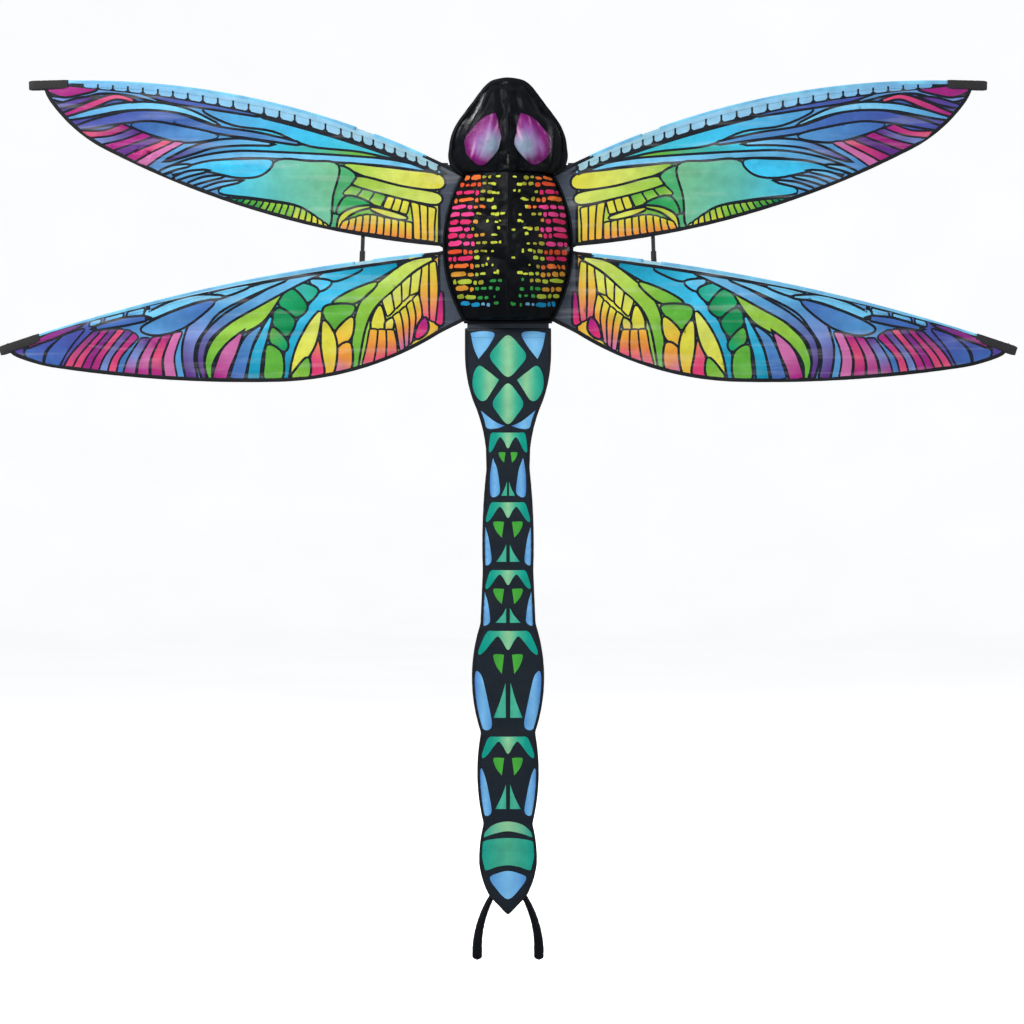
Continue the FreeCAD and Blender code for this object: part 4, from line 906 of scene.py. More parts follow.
def forewing_art(art):
    # Bands that sweep out from the root's leading corner.
    art.leaf((TEAL, CYAN, BLUE), (8, 14), (28, 14.5), (52, 16.5), (59.5, 20), (52, 27.5), (42, 24.5),
             (33, 29), (20, 20.5))
    art.ribbon((DEEP, INDIGO), (46, 14, 2), (58, 14.5, 9), (68, 14, 12), (77, 11, 2))
    art.ribbon((SKY, SKY, BLUE), (0, 12, 3), (12, 22.5, 8), (24, 33, 9), (40, 45, 8), (52, 55.5, 9),
               (62, 73, 10), (70, 96, 5))
    art.leaf((YELLOW, PALE, LIME), (0, 16), (8, 24.5), (16, 31.5), (24, 38), (18, 43), (9, 41.5), (0, 31))
    art.leaf((PALE, LIME), (0.6, 39), (10, 44), (20, 45.5), (21.6, 53.5), (10, 54.5), (1, 51))
    # Green fins, with the small cells between them and the root.
    art.leaf(("58c07c", "34a868"), (21.5, 45), (25, 41), (26.6, 50), (27, 70), (26.6, 84), (24.6, 70),
             (22.6, 54))
    art.row([(LEAF, LIME)], 3, 0.07, [(13.6, 57), (22.6, 56)], [(14.8, 68.5), (24.6, 64.5)])
    art.leaf(("18a05c", "40b060"), (17.4, 69), (23.4, 66.5), (25.8, 84), (21.6, 75))
    art.ribbon((LIME, YELLOW), (17.6, 71, 1), (21.4, 77, 5), (24.4, 86, 8), (25.6, 96, 2))
    art.row([(YELLOW, AMBER)], 3, 0.1, [(1, 57), (7.4, 57)], [(1.4, 76), (6.8, 74)],
            [(1.4, 95), (6.6, 95)])
    art.row([(YELLOW, YELLOW)], 3, 0.1, [(7.6, 57), (13.3, 57)], [(8.3, 70), (14.4, 68.5)])
    art.leaf((PALE, YELLOW), (8.6, 74), (13, 71.5), (17.4, 72.5), (14, 76), (10, 76.5))
    art.row([(YELLOW, AMBER, ORANGE)], 10, 0.09, [(7, 79), (13, 79), (18.6, 80), (24.6, 91)],
            [(7, 96), (25.4, 97)])
    # The wide middle field and the feathered cells under it.
    art.leaf(("80cc98", "68c8b8", CYAN), (25.8, 41), (33, 44.5), (40.5, 50), (45, 67), (51.5, 80),
             (55.5, 94), (46, 88), (36.5, 84.5), (31.5, 89.5), (28, 96), (27.3, 70))
    feathers = [(YELLOW, YELLOW), (LIME, YELLOW), (LIME, LEAF), (LEAF, GREEN), (GREEN, GREEN)]
    art.row(feathers, 17, 0.1, [(28.4, 97), (31.4, 92), (36, 87), (42, 89), (48, 92.5), (54, 98)],
            [(27.6, 101), (56, 101)])
    art.leaf((CYAN, CYAN, BLUE), (42.5, 52), (50, 58.5), (58, 68.5), (64, 82), (67.5, 93), (60, 78.5),
             (51, 74.5), (45, 66))
    for n in range(4):
        shift = n * 4.2
        art.ribbon((SKY, BLUE), (51 + shift, 79, 1), (55.5 + shift * 0.94, 87, 5),
                   (59.5 + shift * 0.86, 97, 4))
    # Blue bands that run on to the tip.
    art.ribbon((BLUE, DEEP, INDIGO), (36, 30.5, 2), (46, 33, 8), (57, 36.5, 9), (67, 34.5, 16),
               (76, 41, 17), (82.5, 54, 14), (87.5, 71, 11), (91.5, 96, 5))
    art.ribbon((SKY, SKY, BLUE), (56.5, 31, 1), (64, 25, 7), (72, 25.5, 10), (80, 33.5, 10),
               (86, 47.5, 9), (90.3, 65, 7), (93.8, 92, 3))
    art.ribbon((SKY, BLUE, PURPLE), (43, 37.5, 2), (50, 42, 8), (57, 50.5, 9), (62, 61.5, 9),
               (66.4, 74, 4), (68.4, 80, 1))
    art.leaf((BLUE, DEEP), (56, 42), (66, 41.8), (73, 45), (77.6, 54.5), (70, 57.5), (63.6, 54.8))
    stripes = [(PINK, PINK), (ROSE, MAGENTA), (PURPLE, PURPLE), (MAGENTA, MAGENTA), (PURPLE, LILAC),
               (MAGENTA, ROSE)]
    art.row(stripes, 6, 0.12, [(64.4, 57), (70, 61), (75, 59.5), (80.4, 57)],
            [(70, 78), (75, 78), (79, 76), (85, 75)], [(74, 98), (80, 98), (85.4, 98), (91, 98)])
    art.ribbon((BLUE, LILAC), (71.5, 19, 1), (79.5, 13, 7), (86, 15, 8), (91, 31, 6), (95, 52, 5),
               (98, 80, 1))
    art.ribbon((ROSE, MAGENTA), (77.5, 23, 3), (82, 21.5, 6), (88, 41, 9), (92, 64, 6), (95, 96, 4))
    art.ribbon((PURPLE, INDIGO), (87.6, 28, 1), (91, 40, 7), (94.4, 62, 6), (96.8, 95, 4))
    art.leaf((MAGENTA, "a82888"), (86.5, 13), (90, 10), (95, 18), (99, 36), (98.6, 58), (95, 43),
             (91, 26))
    leading_strip(art, 12.5, 0.5, 93, [(0.5, 25, 9), (25, 56, 8), (56, 90, 9)], 46, 17, 1.8)


def hindwing_art(art):
    # The fan of small warm cells at the root, under a long lime leaf.
    art.leaf((MAGENTA, "f0387c"), (-0.4, 50), (0.5, 62), (1.1, 80), (0.4, 88), (-0.6, 86))
    art.row([(YELLOW, AMBER, ROSE)], 2, 0.13, [(0.9, 11), (4.2, 14)], [(0.3, 45), (4.8, 45)],
            [(1, 84), (3.9, 71)])
    art.ribbon((PALE, LIME, LEAF), (2, 7, 4), (7, 13, 18), (12, 27, 24), (16.4, 41, 24), (18.6, 62, 18),
               (19.7, 97, 9))
    art.row([(PALE, YELLOW)], 4, 0.09, [(4.2, 16), (7.2, 24), (10.4, 34), (13.4, 42)],
            [(4.9, 41), (7.4, 43), (9.6, 50), (12.2, 58)])
    art.leaf((YELLOW, YELLOW), (13.8, 46), (15.7, 60), (14.7, 79), (12.8, 66))
    art.leaf((PALE, AMBER), (10.9, 62), (12.4, 64), (12.2, 74), (11, 71))
    art.row([(YELLOW, ORANGE, PINK)], 4, 0.11, [(4.9, 44), (8.4, 55), (10.9, 60)],
            [(4.2, 68), (7, 70), (10.2, 70)], [(5.6, 91), (7.6, 95), (9.2, 97)])
    art.leaf((MAGENTA, "f0387c"), (3.4, 74), (4.8, 78), (5.6, 90), (4.2, 92), (2.9, 87))
    art.row([(AMBER, ORANGE, ROSE)], 3, 0.08, [(10.6, 74), (13.2, 70), (16.2, 66)],
            [(10, 86), (13.4, 84), (17, 83)], [(9.8, 97), (13.6, 97), (18, 97)])
    # The cyan band over the middle, with leaves under it.
    art.ribbon((SEA, CYAN, SEA), (10, 8, 7), (16, 13, 26), (24, 23, 28), (29.4, 39, 20), (32.8, 56, 16),
               (34.8, 76, 12), (35.5, 97, 6))
    art.leaf((LIME, LEAF), (14.6, 23), (20, 26.5), (24.4, 34), (22, 37.5), (18.4, 36))
    art.leaf((LEAF, LEAF), (19.8, 41), (25, 36.5), (26.8, 40), (25.8, 51), (24, 58.5), (21.4, 52))
    art.leaf((YELLOW, AMBER), (20.3, 51), (23.8, 61), (23.5, 73.5), (21.2, 71), (20.2, 64))
    art.leaf((AMBER, ORANGE, PINK), (20.7, 75), (23.4, 77), (24.2, 97), (20.7, 97))
    art.leaf((YELLOW, YELLOW, AMBER), (26.7, 50), (27.2, 66), (26.7, 97), (24.7, 97), (23.9, 78),
             (24.6, 62))
    art.leaf((ORANGE, ROSE, "f0387c"), (28.2, 66), (29.5, 79), (29.8, 97), (27, 97), (27.4, 82))
    art.leaf((PALE, YELLOW), (27.5, 41), (30.4, 52), (33, 71), (34.1, 93), (30.8, 81), (28.6, 66))
    art.leaf((LEAF, LIME), (30.4, 81), (33, 90), (33.9, 97), (30.3, 97))
    art.leaf((SEA, CYAN), (18.2, 6.5), (23, 3.5), (28, 7.5), (24.4, 14), (20.4, 11))
    art.leaf((CYAN, SKY), (25.2, 15), (29.8, 10.5), (27.6, 21))
    # A chain of green cells and the leaves beyond it.
    art.leaf(("1cb494", TEAL), (28.2, 21), (31, 13.5), (33.4, 13.5), (31.8, 24), (30.2, 29.5))
    art.leaf((GREEN, "14b070"), (30.7, 34), (33.2, 19), (35, 17.5), (37, 27), (34.4, 38), (32.6, 41.5))
    art.leaf((GREEN, GREEN), (33.5, 46), (36.8, 32.5), (38.5, 39), (38, 48), (35.6, 58.5))
    art.leaf(("0ca86c", LEAF), (35.3, 64), (38.4, 50), (39, 62), (36, 71.5))
    art.leaf((LEAF, LEAF), (36.5, 75), (39.6, 66), (40.2, 82), (40.2, 97), (36.6, 97))
    art.ribbon((LIME, LIME, LEAF), (37, 20, 4), (42, 36, 26), (47.2, 47, 24), (51.2, 61, 18),
               (53.2, 80, 11), (53, 96, 4))
    art.ribbon((CYAN, SEA), (39, 40, 3), (40.6, 56, 12), (42.2, 74, 17), (43, 97, 20))
    art.ribbon((BLUE, DEEP), (41.4, 48, 3), (44, 60, 15), (45.6, 78, 20), (46.8, 97, 23))
    art.ribbon((PINK, PINK, MAGENTA), (45.8, 53, 3), (48.3, 68, 21), (49.9, 83, 22), (50.8, 97, 22))
    # Blue bands that sweep down to the trailing edge.
    art.ribbon((SKY, BLUE, PURPLE), (27.6, 4, 6), (34, 9.5, 15), (42, 22, 15), (49.4, 36, 14),
               (53.8, 54, 11), (55.1, 76, 9), (54.4, 96, 5))
    art.ribbon((SKY, SKY, BLUE, LILAC, PURPLE), (36, 6, 3), (44, 12, 12), (51.5, 22, 18), (55.6, 38, 26),
               (57.6, 58, 20), (57.9, 78, 17), (57.2, 97, 17))
    art.leaf((SKY, SKY), (44, 6), (49, 5.5), (52.6, 7), (49.2, 11))
    art.ribbon((SKY, SKY), (50.4, 12, 2), (56, 8.5, 9), (62, 11.5, 13), (67, 17.5, 10), (67.3, 10, 3))
    art.leaf((DEEP, BLUE), (52, 15), (60, 18), (67.4, 29), (68.4, 37), (64.5, 43.5), (58.4, 36.5))
    for start, end in ((68, 72), (72.8, 77.2), (78, 80.6)):
        art.row([(SKY, BLUE)], 1, 0.05, [(start, 6.5), (end, 6.5)], [(start + 0.3, 14), (end + 0.2, 14)])
    art.ribbon((DEEP, DEEP), (68, 20, 6), (73, 19, 10), (79, 20, 4))
    # Stripes towards the tip.
    near = [(PINK, PINK), (MAGENTA, ROSE, MAGENTA), (MAGENTA, PINK, MAGENTA), (PURPLE, LILAC, MAGENTA)]
    art.row(near, 4, 0.12, [(59.2, 44), (62.6, 45.5), (66, 48), (69, 47)],
            [(61, 72), (64.4, 73), (68.4, 74), (72, 74)],
            [(60.4, 97), (64.8, 97), (69.2, 97), (73.2, 97)])
    far = [(MAGENTA, ROSE), (PURPLE, LILAC), (ROSE, MAGENTA), (PURPLE, MAGENTA), (MAGENTA, ROSE),
           (PURPLE, ROSE)]
    art.row(far, 6, 0.12, [(69.4, 46), (71, 36), (74.5, 29), (80, 26)],
            [(73.4, 71), (77, 69), (81, 66), (84.6, 62)],
            [(74.6, 97), (78.6, 97), (82.6, 97), (86.8, 97)])
    art.row([(INDIGO, DEEP), (INDIGO, DEEP)], 2, 0.09, [(81.4, 17), (87, 22), (92.6, 33)],
            [(85, 52), (90, 54), (96, 58)], [(87.6, 97), (91.6, 97), (95, 94)])
    art.ribbon((PURPLE, MAGENTA), (83, 8, 2), (88, 12.5, 9), (92.4, 22, 6), (94.6, 36, 2))
    leading_strip(art, 3.6, 7, 90, [], 44, 6.6, 1.4)


def mirrored(side, point):
    return Vector((point[0] * SIDES[side], *point[1:]))


def best_rectangle(points):
    """The smallest upright or turned rectangle that holds a flat outline, as (width, length)."""
    best = None
    for degrees in range(0, 90, 2):
        c, s = math.cos(math.radians(degrees)), math.sin(math.radians(degrees))
        across = [p[0] * c + p[1] * s for p in points]
        up = [p[1] * c - p[0] * s for p in points]
        sizes = sorted((max(across) - min(across), max(up) - min(up)))
        if best is None or sizes[0] * sizes[1] < best[0] * best[1]:
            best = sizes
    return best


def bends(side):
    # The body, the wing and the two ends of the bend, for cloth that crosses a wing's hinge.
    turn = SIDES[side]
    return "body", f"{side}_wing", (BEND_START * turn, 0, 0), (BEND_END * turn, 0, 0)


def flip_faces(obj):
    obj.data.flip_normals()
    return obj


def wing_sheet(side, wing):
    """One sheet of cloth from the thorax's seam to the wing's tip, with its print."""
    shape = WING_SHAPES[wing]
    art = WingArt(shape)
    (forewing_art if wing == "fore" else hindwing_art)(art)
    seed = 3.7 if side == "left" else 11.3
    seed += 5 if wing == "hind" else 0

    def place(x, z):
        return mirrored(side, (x, SAIL_Y + shape.depth(x, z, seed), z))

    name = f"{side}_{wing}wing_sheet"
    sheet = art.print.mesh(name, place, 9 * MM)
    if side == "left":
        flip_faces(sheet)
    thicken(sheet, CLOTH_THICKNESS)
    nodes = [f"{side}_{wing}wing_sail", f"{side}_{wing}wing_root_panel", "root_gussets"]
    finish_piece(sheet, "wing_print", bends(side), nodes)
    points = art.print.outline
    best_rectangle(points)
    abs(area_of(points))
    return place


TAPE_THICKNESS = 1.7 * MM


def edge_tape(name, side, line, width, replaced=()):
    """A tape folded over an edge, with the small puckers that its stitching pulls."""
    points = resample([Vector((p.x, SAIL_Y, p.y)) for p in line], 5 * MM)

    def ring(n, t):
        pull = 1 + 0.12 * rumple(n * 0.6, width * 900, 0)
        section = []
        for across, up in ellipse(width / 2, TAPE_THICKNESS / 2, 10, 0.45):
            section.append((across * (1 + (pull - 1) * 0.5), up * pull))
        return section

    tape = swept(name, [mirrored(side, p) for p in points], ring)
    finish_piece(tape, "black_tape", bends(side), replaced)


def seam_offset(line, inset):
    """A line beside another one, in the upright plane, on its left."""
    result = []
    for n, point in enumerate(line):
        along = (line[min(n + 1, len(line) - 1)] - line[max(n - 1, 0)]).normalized()
        result.append(point + Vector((-along.y, along.x)) * inset)
    return result


def sleeve(side, wing, shape):
    """The light cloth channel round a spar, in two lengths either side of the strut's connector."""
    low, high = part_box(f"{side}_{wing}wing_sleeve")
    start_x, end_x = sorted((abs(low.x), abs(high.x)))
    gap = [abs(corner.x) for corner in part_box(f"{side}_strut_connectors")]
    gap_start, gap_end = min(gap) - 2 * MM, max(gap) + 2 * MM
    section = [
        (6.6, 7.0), (4.2, 6.9), (-2, 5.9), (-7.2, 5.8), (-7.4, 5.2), (-5.4, 2.6), (-4.5, -0.6),
        (-3.1, -3.4), (0, -4.7), (3.2, -3.4), (4.8, -0.4), (5.6, 2.8), (6.9, 5.6),
    ]

    def ring(n, t):
        slack = 1 + 0.05 * rumple(n * 0.35, 7, 1)
        return [(across * MM, up * MM * (slack if up < 4 else 1)) for across, up in section]

    parts = []
    for number, (a, b) in enumerate(((start_x, gap_start), (gap_end, end_x))):
        line = [Vector((p.x, SPAR_Y, p.y)) for p in shape.top_line(a, b, SPAR_INSET)]
        line = [mirrored(side, p) for p in line]
        tube = swept(f"tube{number}", line if side == "left" else line[::-1], ring, closed_ends=False)
        parts.append(tube)
    tube = thicken(join(f"{side}_{wing}wing_sleeve_cloth", parts), CLOTH_THICKNESS, -1)
    finish_piece(tube, "sleeve_cloth", f"{side}_wing", [f"{side}_{wing}wing_sleeve"])


def tip_pocket(side, wing, shape):
    """Webbing folded over the wing's tip and sewn through, in line with the spar."""
    node = f"{side}_{wing}wing_tip_pocket"
    low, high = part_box(node)
    centre = (low + high) / 2
    x = abs(centre.x)
    slope = (shape.top(shape.tip_x - 8 * MM) - shape.top(shape.tip_x - 60 * MM)) / (52 * MM)
    along = Vector((1, 0, slope)).normalized()
    half_length = (35 if wing == "fore" else 37.5) * MM
    half_height, half_depth = 8.5 * MM, (high.y - low.y) / 2
    line = [Vector((x, centre.y, centre.z)) + along * half_length * t for t in np.linspace(-1, 1, 26)]
    line = [mirrored(side, p) for p in line]

    def ring(n, t):
        end = max(0.0, t - 0.86) / 0.14
        shrink = math.sqrt(max(0.12, 1 - end ** 2))
        ripple = 1 + 0.03 * rumple(n * 0.5, 3, 3)
        flat = 0.86 + 0.14 * min(1.0, abs(t - 0.05) * 8)
        return ellipse(half_height * ripple * (0.8 + 0.2 * shrink), half_depth * shrink * flat, 20, 0.38)

    pocket = swept(f"{node}_webbing", line, ring)
    finish_piece(pocket, "black_webbing", f"{side}_wing", [node])
    front = Vector((0, -half_depth - 0.1 * MM, 0))
    rows = []
    across = Vector((-along.z, 0, along.x))
    for offset in (-0.78, 0.78):
        rows.append([p + front + mirrored(side, across) * half_height * offset for p in line[1:-4]])
    sew(f"{node}_stitches", rows, f"{side}_wing")


def build_wing(side, wing):
    shape = WING_SHAPES[wing]
    place = wing_sheet(side, wing)
    name = f"{side}_{wing}wing"
    trailing = shape.bottom_line(3 * MM)
    edge_tape(f"{name}_hem", side, trailing, 7 * MM, [f"{name}_binding"])
    sleeve_start = min(abs(corner.x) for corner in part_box(f"{name}_sleeve"))
    leading = [shape.root_corner(True)] + shape.top_line(shape.root_x, sleeve_start + 4 * MM, 2.5 * MM)
    edge_tape(f"{name}_root_hem", side, leading, 6 * MM)
    sleeve(side, wing, shape)
    tip_pocket(side, wing, shape)
    sewn = [seam_offset(resample(trailing, 6 * MM), 2.4 * MM)]
    sewn = [[mirrored(side, (p.x, SAIL_Y - 1.0 * MM, p.y)) for p in row] for row in sewn]
    fold = shape.top_line(sleeve_start, shape.tip_x - 60 * MM, 12.4 * MM)
    sewn.append([place(p.x, p.y) + Vector((0, -0.3 * MM, 0)) for p in fold])
    sew(f"{name}_stitches", sewn, bends(side))


# ---------------------------------------------------------------------------------------------
# Head and thorax: cloth domes
# ---------------------------------------------------------------------------------------------
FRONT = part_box("thorax_shell")[1].y
THORAX_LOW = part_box("thorax_shell")[0].z


def settle(obj, pinned, growth, pressure, reach, frames=22):
    """Lets a sheet wrinkle as cloth cut a little too large for the places that hold it."""
    start = [v.co.copy() for v in obj.data.vertices]
    held = obj.vertex_groups.new(name="held")
    held.add([n for n, is_held in enumerate(pinned) if is_held], 1.0, "REPLACE")
    cloth = obj.modifiers.new("Cloth", "CLOTH")
    cloth.settings.vertex_group_mass = "held"
    cloth.settings.effector_weights.gravity = 0
    cloth.settings.quality = 6
    cloth.settings.mass = 0.12
    cloth.settings.tension_stiffness = 30
    cloth.settings.compression_stiffness = 30
    cloth.settings.bending_stiffness = 0.15
    cloth.settings.shrink_min = -growth
    cloth.settings.use_pressure = True
    cloth.settings.uniform_pressure_force = pressure
    cloth.point_cache.frame_end = frames
    for number in range(1, frames + 1):
        bpy.context.scene.frame_set(number)
    apply_modifiers(obj)
    bpy.context.scene.frame_set(1)
    for vertex, place in zip(obj.data.vertices, start):
        move = vertex.co - place
        if move.length > reach:
            vertex.co = place + move * (reach / move.length)


class Dome:
    """A cloth shell ahead of the sails: at each height an arc from edge to edge, wrinkled as cloth."""

    ACROSS, ALONG = 48, 58

    def __init__(self, heights, widths, rises, wrinkle):
        self.width, self.rise = Curve(heights, widths), Curve(heights, rises)
        self.low, self.high = heights[0], heights[-1]
        self.shares = np.linspace(-1, 1, self.ACROSS + 1)
        self.heights = np.linspace(self.low, self.high, self.ALONG + 1)
        arcs = [(share, self.arc(share, z)) for z in self.heights for share in self.shares]
        verts = [point - Vector((0, wrinkle(share, point.x, point.z), 0)) for share, point in arcs]
        row = self.ACROSS + 1
        cloth = mesh_object("dome_cloth", verts, grid_faces(self.ALONG + 1, row))
        self.area = sum(polygon.area for polygon in cloth.data.polygons)
        edges = {0, self.ACROSS}
        middle = self.ACROSS // 2
        pinned = []
        for n in range(self.ALONG + 1):
            for k in range(row):
                pinned.append(k in edges or n in (0, self.ALONG) or k == middle)
        settle(cloth, pinned, 0.035, 1.5, 5 * MM)
        self.grid = np.array([v.co for v in cloth.data.vertices]).reshape(self.ALONG + 1, row, 3)
        bpy.data.objects.remove(cloth)

    def bow(self, z):
        """The rise, the radius and the half angle of the arc at a height."""
        width, rise = self.width(z), max(self.rise(z), 0.05 * MM)
        return rise, (width ** 2 + rise ** 2) / (2 * rise), 2 * math.atan(rise / width)

    def arc(self, share, z):
        rise, radius, half_turn = self.bow(z)
        turn = half_turn * share
        return Vector((radius * math.sin(turn), FRONT - rise + radius * (1 - math.cos(turn)), z))

    def share(self, x, z):
        """Where a place seen from the front lies between the dome's edges, from -1 to 1."""
        _, radius, half_turn = self.bow(z)
        return math.asin(min(max(x / radius, -1), 1)) / half_turn

    def point(self, share, z):
        column = (share + 1) / 2 * self.ACROSS
        row = (z - self.low) / (self.high - self.low) * self.ALONG
        weights, picks = [], []
        for place, last in ((row, self.ALONG), (column, self.ACROSS)):
            place = min(max(place, 0), last)
            first = min(int(place), last - 1)
            t = place - first
            weights.append(np.array([
                (-t + 2 * t * t - t ** 3) / 2, (2 - 5 * t * t + 3 * t ** 3) / 2,
                (t + 4 * t * t - 3 * t ** 3) / 2, (t ** 3 - t * t) / 2,
            ]))
            picks.append([min(max(first + k, 0), last) for k in (-1, 0, 1, 2)])
        near = self.grid[np.ix_(*picks)]
        return Vector(weights[0] @ (weights[1] @ near))

    def at(self, x, z, lift=0.0):
        """The cloth's place seen at (x, z) from the front, lifted off its outside."""
        share = self.share(x, z)
        point = self.point(share, z)
        if lift:
            side = self.point(share + 0.02, z) - self.point(share - 0.02, z)
            up = self.point(share, z + 2 * MM) - self.point(share, z - 2 * MM)
            point += side.cross(up).normalized() * lift
        return point

    def outline(self, margin=0.2 * MM):
        right = [(self.width(z) - margin, z) for z in np.linspace(self.low, self.high, 40)]
        top = [(x, self.high) for x in np.linspace(right[-1][0], -right[-1][0], 12)[1:-1]]
        bottom = [(x, self.low) for x in np.linspace(-right[0][0], right[0][0], 16)[1:-1]]
        return right + top + [(-x, z) for x, z in reversed(right)] + bottom

    def skin(self, art, name, spacing, finish, node):
        """The dome's printed cloth."""
        cloth = art.mesh(name, self.at, spacing)
        thicken(cloth, CLOTH_THICKNESS, 1)
        finish_piece(cloth, finish, "body", [node])
        width = 2 * max(self.width(z) for z in self.heights)


head_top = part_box("head_binding")[1].z
neck_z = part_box("thorax_shell")[1].z
head_heights = np.linspace(neck_z, head_top - 6 * MM, 70)
head_side = side_of("head_binding", head_heights)
hood_rise = FRONT - spans(["head_hood"], 2, head_heights, 1)[0]


def hood_wrinkle(share, x, z):
    """Folds that run down from the crown beside the rim, and a seam ridge up the middle."""
    edge = 1 - abs(share)
    height = (z - neck_z) / (head_top - neck_z)
    loose = min(1.0, edge * 6) * min(1.0, (1 - height) * 5)
    folds = math.sin(edge * 21 + 1.5 * rumple(share * 2, z * 8, 4))
    folds *= math.exp(-((edge - 0.3) / 0.26) ** 2) * (0.35 + 0.65 * height)
    ridge = math.exp(-(x / (5 * MM)) ** 2)
    valley = math.exp(-((abs(x) - 13 * MM) / (8 * MM)) ** 2)
    creases = rumple(share * 6, z * 30, 9)
    return loose * (4.2 * MM * folds + 3.5 * MM * ridge - 4.5 * MM * valley + 3.2 * MM * creases)


def thorax_wrinkle(share, x, z):
    """Slack that sags into slanting creases beside the middle seam."""
    edge = 1 - abs(share)
    loose = min(1.0, edge * 5)
    ridge = math.exp(-(x / (4 * MM)) ** 2)
    slant = rumple(x * 26 + z * 15, z * 9 - x * 8, 2)
    crease = (1 - abs(rumple(x * 34 + z * 24, z * 16 - x * 12, 11))) ** 8
    gather = rumple(x * 60, z * 6, 5) * math.exp(-((z - THORAX_LOW) / (26 * MM)) ** 2)
    return loose * (2.6 * MM * ridge + 4 * MM * slant + 2.2 * MM * crease + 3 * MM * gather)


hood_widths = [head_side(z) - 6 * MM for z in head_heights]
hood_rises = [max(rise, 6 * MM) if math.isfinite(rise) else 6 * MM for rise in hood_rise]
dome_heights = np.linspace(THORAX_LOW, neck_z, 70)
shell_heights = np.clip(dome_heights, THORAX_LOW + 0.1 * MM, neck_z - 0.1 * MM)
shell_rise = FRONT - spans(["thorax_shell"], 2, shell_heights, 1)[0]
shell_widths = [thorax_side(z) - 4 * MM for z in dome_heights]


EYE = [(21, 83), (21, 83), (38, 77), (55, 63), (68, 47), (73, 34), (69, 17), (58, 3), (45, -4), (33, 2),
       (20, 17), (11, 34), (12, 50)]


def distance_to(outline, point):
    """How far a flat place is from a closed line of points."""
    nearest = 1.0
    for a, b in zip(outline, outline[1:] + outline[:1]):
        along = b - a
        share = min(max((point - a).dot(along) / max(along.length_squared, 1e-12), 0), 1)
        nearest = min(nearest, (point - a - along * share).length)
    return nearest


def eye_colour(outline, turn, x, z):
    """Magenta at the edge and purple inside it, with a painted pale blue-grey sheen low beside the nose
    and narrow light pink streaks painted as highlights.
    """
    def mixed(a, b, share):
        return a + (b - a) * min(max(share, 0), 1)

    place = Vector((x, z))
    streak = rumple((x * turn + z * 0.35) * 150, z * 26, turn * 5)
    cloud = rumple(x * 60, z * 60, turn * 9)
    depth = distance_to(outline, place) / (24 * MM) + 0.22 * streak + 0.15 * cloud
    shade = mixed(colour("740c6a"), colour("90287f"), depth * 2.2)
    shade = mixed(shade, colour("8c489c"), depth * 2 - 0.5)
    shade = mixed(shade, colour("a070b4"), depth * 1.6 - 0.7)
    # Painted sheen: a pale blue-grey patch low beside the nose.
    pale = 1 - (place - Vector((26 * turn, 27)) * MM).length / (30 * MM)
    shade = mixed(shade, colour("92a4bc"), pale * 1.4 + 0.35 * streak)
    # Painted highlights: narrow light pink streaks where the stretched noise runs high.
    return mixed(shade, colour("d494c8"), streak * 3.2 - 1.15)


def eye_panels(dome):
    """Two shining panels sewn on the hood, edged in magenta round a paler middle."""
    for side, turn in SIDES.items():
        outline = smooth_line([(x * MM * turn, z * MM) for x, z in EYE], 5, closed=True)

        def place(x, z):
            facet = 1.5 * MM * rumple(x * 50, z * 34, turn * 3)
            inside_edge = min(1, distance_to(outline, Vector((x, z))) / (6 * MM))
            return dome.at(x, z, 1.6 * MM + facet * inside_edge)

        panel = Print(outline).mesh(f"{side}_eye_panel", place, 2.2 * MM)
        shades = [eye_colour(outline, turn, v.co.x, v.co.z) for v in panel.data.vertices]
        for loop, value in zip(panel.data.loops, panel.data.color_attributes["paint"].data):
            value.color = (*shades[loop.vertex_index], 1)
        thicken(panel, 0.8 * MM, 1)
        finish_piece(panel, "eye_print", "body", ["eye_panels"])
        hem = [dome.at(p.x, p.y, 1.3 * MM) for p in outline]
        hem = resample(hem + hem[:1], 3 * MM)[:-1]
        cord = swept(f"{side}_eye_piping", hem, lambda n, t: ellipse(1.0 * MM, 1.0 * MM, 8),
                     closed_line=True)
        finish_piece(cord, "black_satin", "body")


# Each row, from its outer end inwards: colours of the outer bars, then of the middle dots.
ROWS = [
    ("ORANGE", "OLIVE"), ("RED", "OLIVE"), ("PINK", "OLIVE"), ("ORANGE", "OLIVE"),
    ("ROSE", "ORANGE"), ("ROSE", "OLIVE"), ("PINK", "AMBER"), ("ROSE", "OLIVE"),
    ("PINK", "AMBER"), ("ROSE", "OLIVE"), ("RED", "OLIVE"), ("PINK", "LIME"),
    ("ORANGE", "OLIVE"), ("AMBER", "LIME"), ("LIME", "OLIVE"), ("AMBER", "GREEN"),
    ("LIME", "GREEN"), ("BLUE", "SKY"),
]
DOTS = {
    "RED": "e0502c", "ORANGE": "ec7434", "PINK": "e02c6c", "ROSE": "f04490",
    "AMBER": "d89838", "OLIVE": "a8a438", "LIME": "b4c840", "GREEN": "38a04c",
    "BLUE": "1c94c8", "SKY": "7cc0e4", "YELLOW": "ccd848",
}


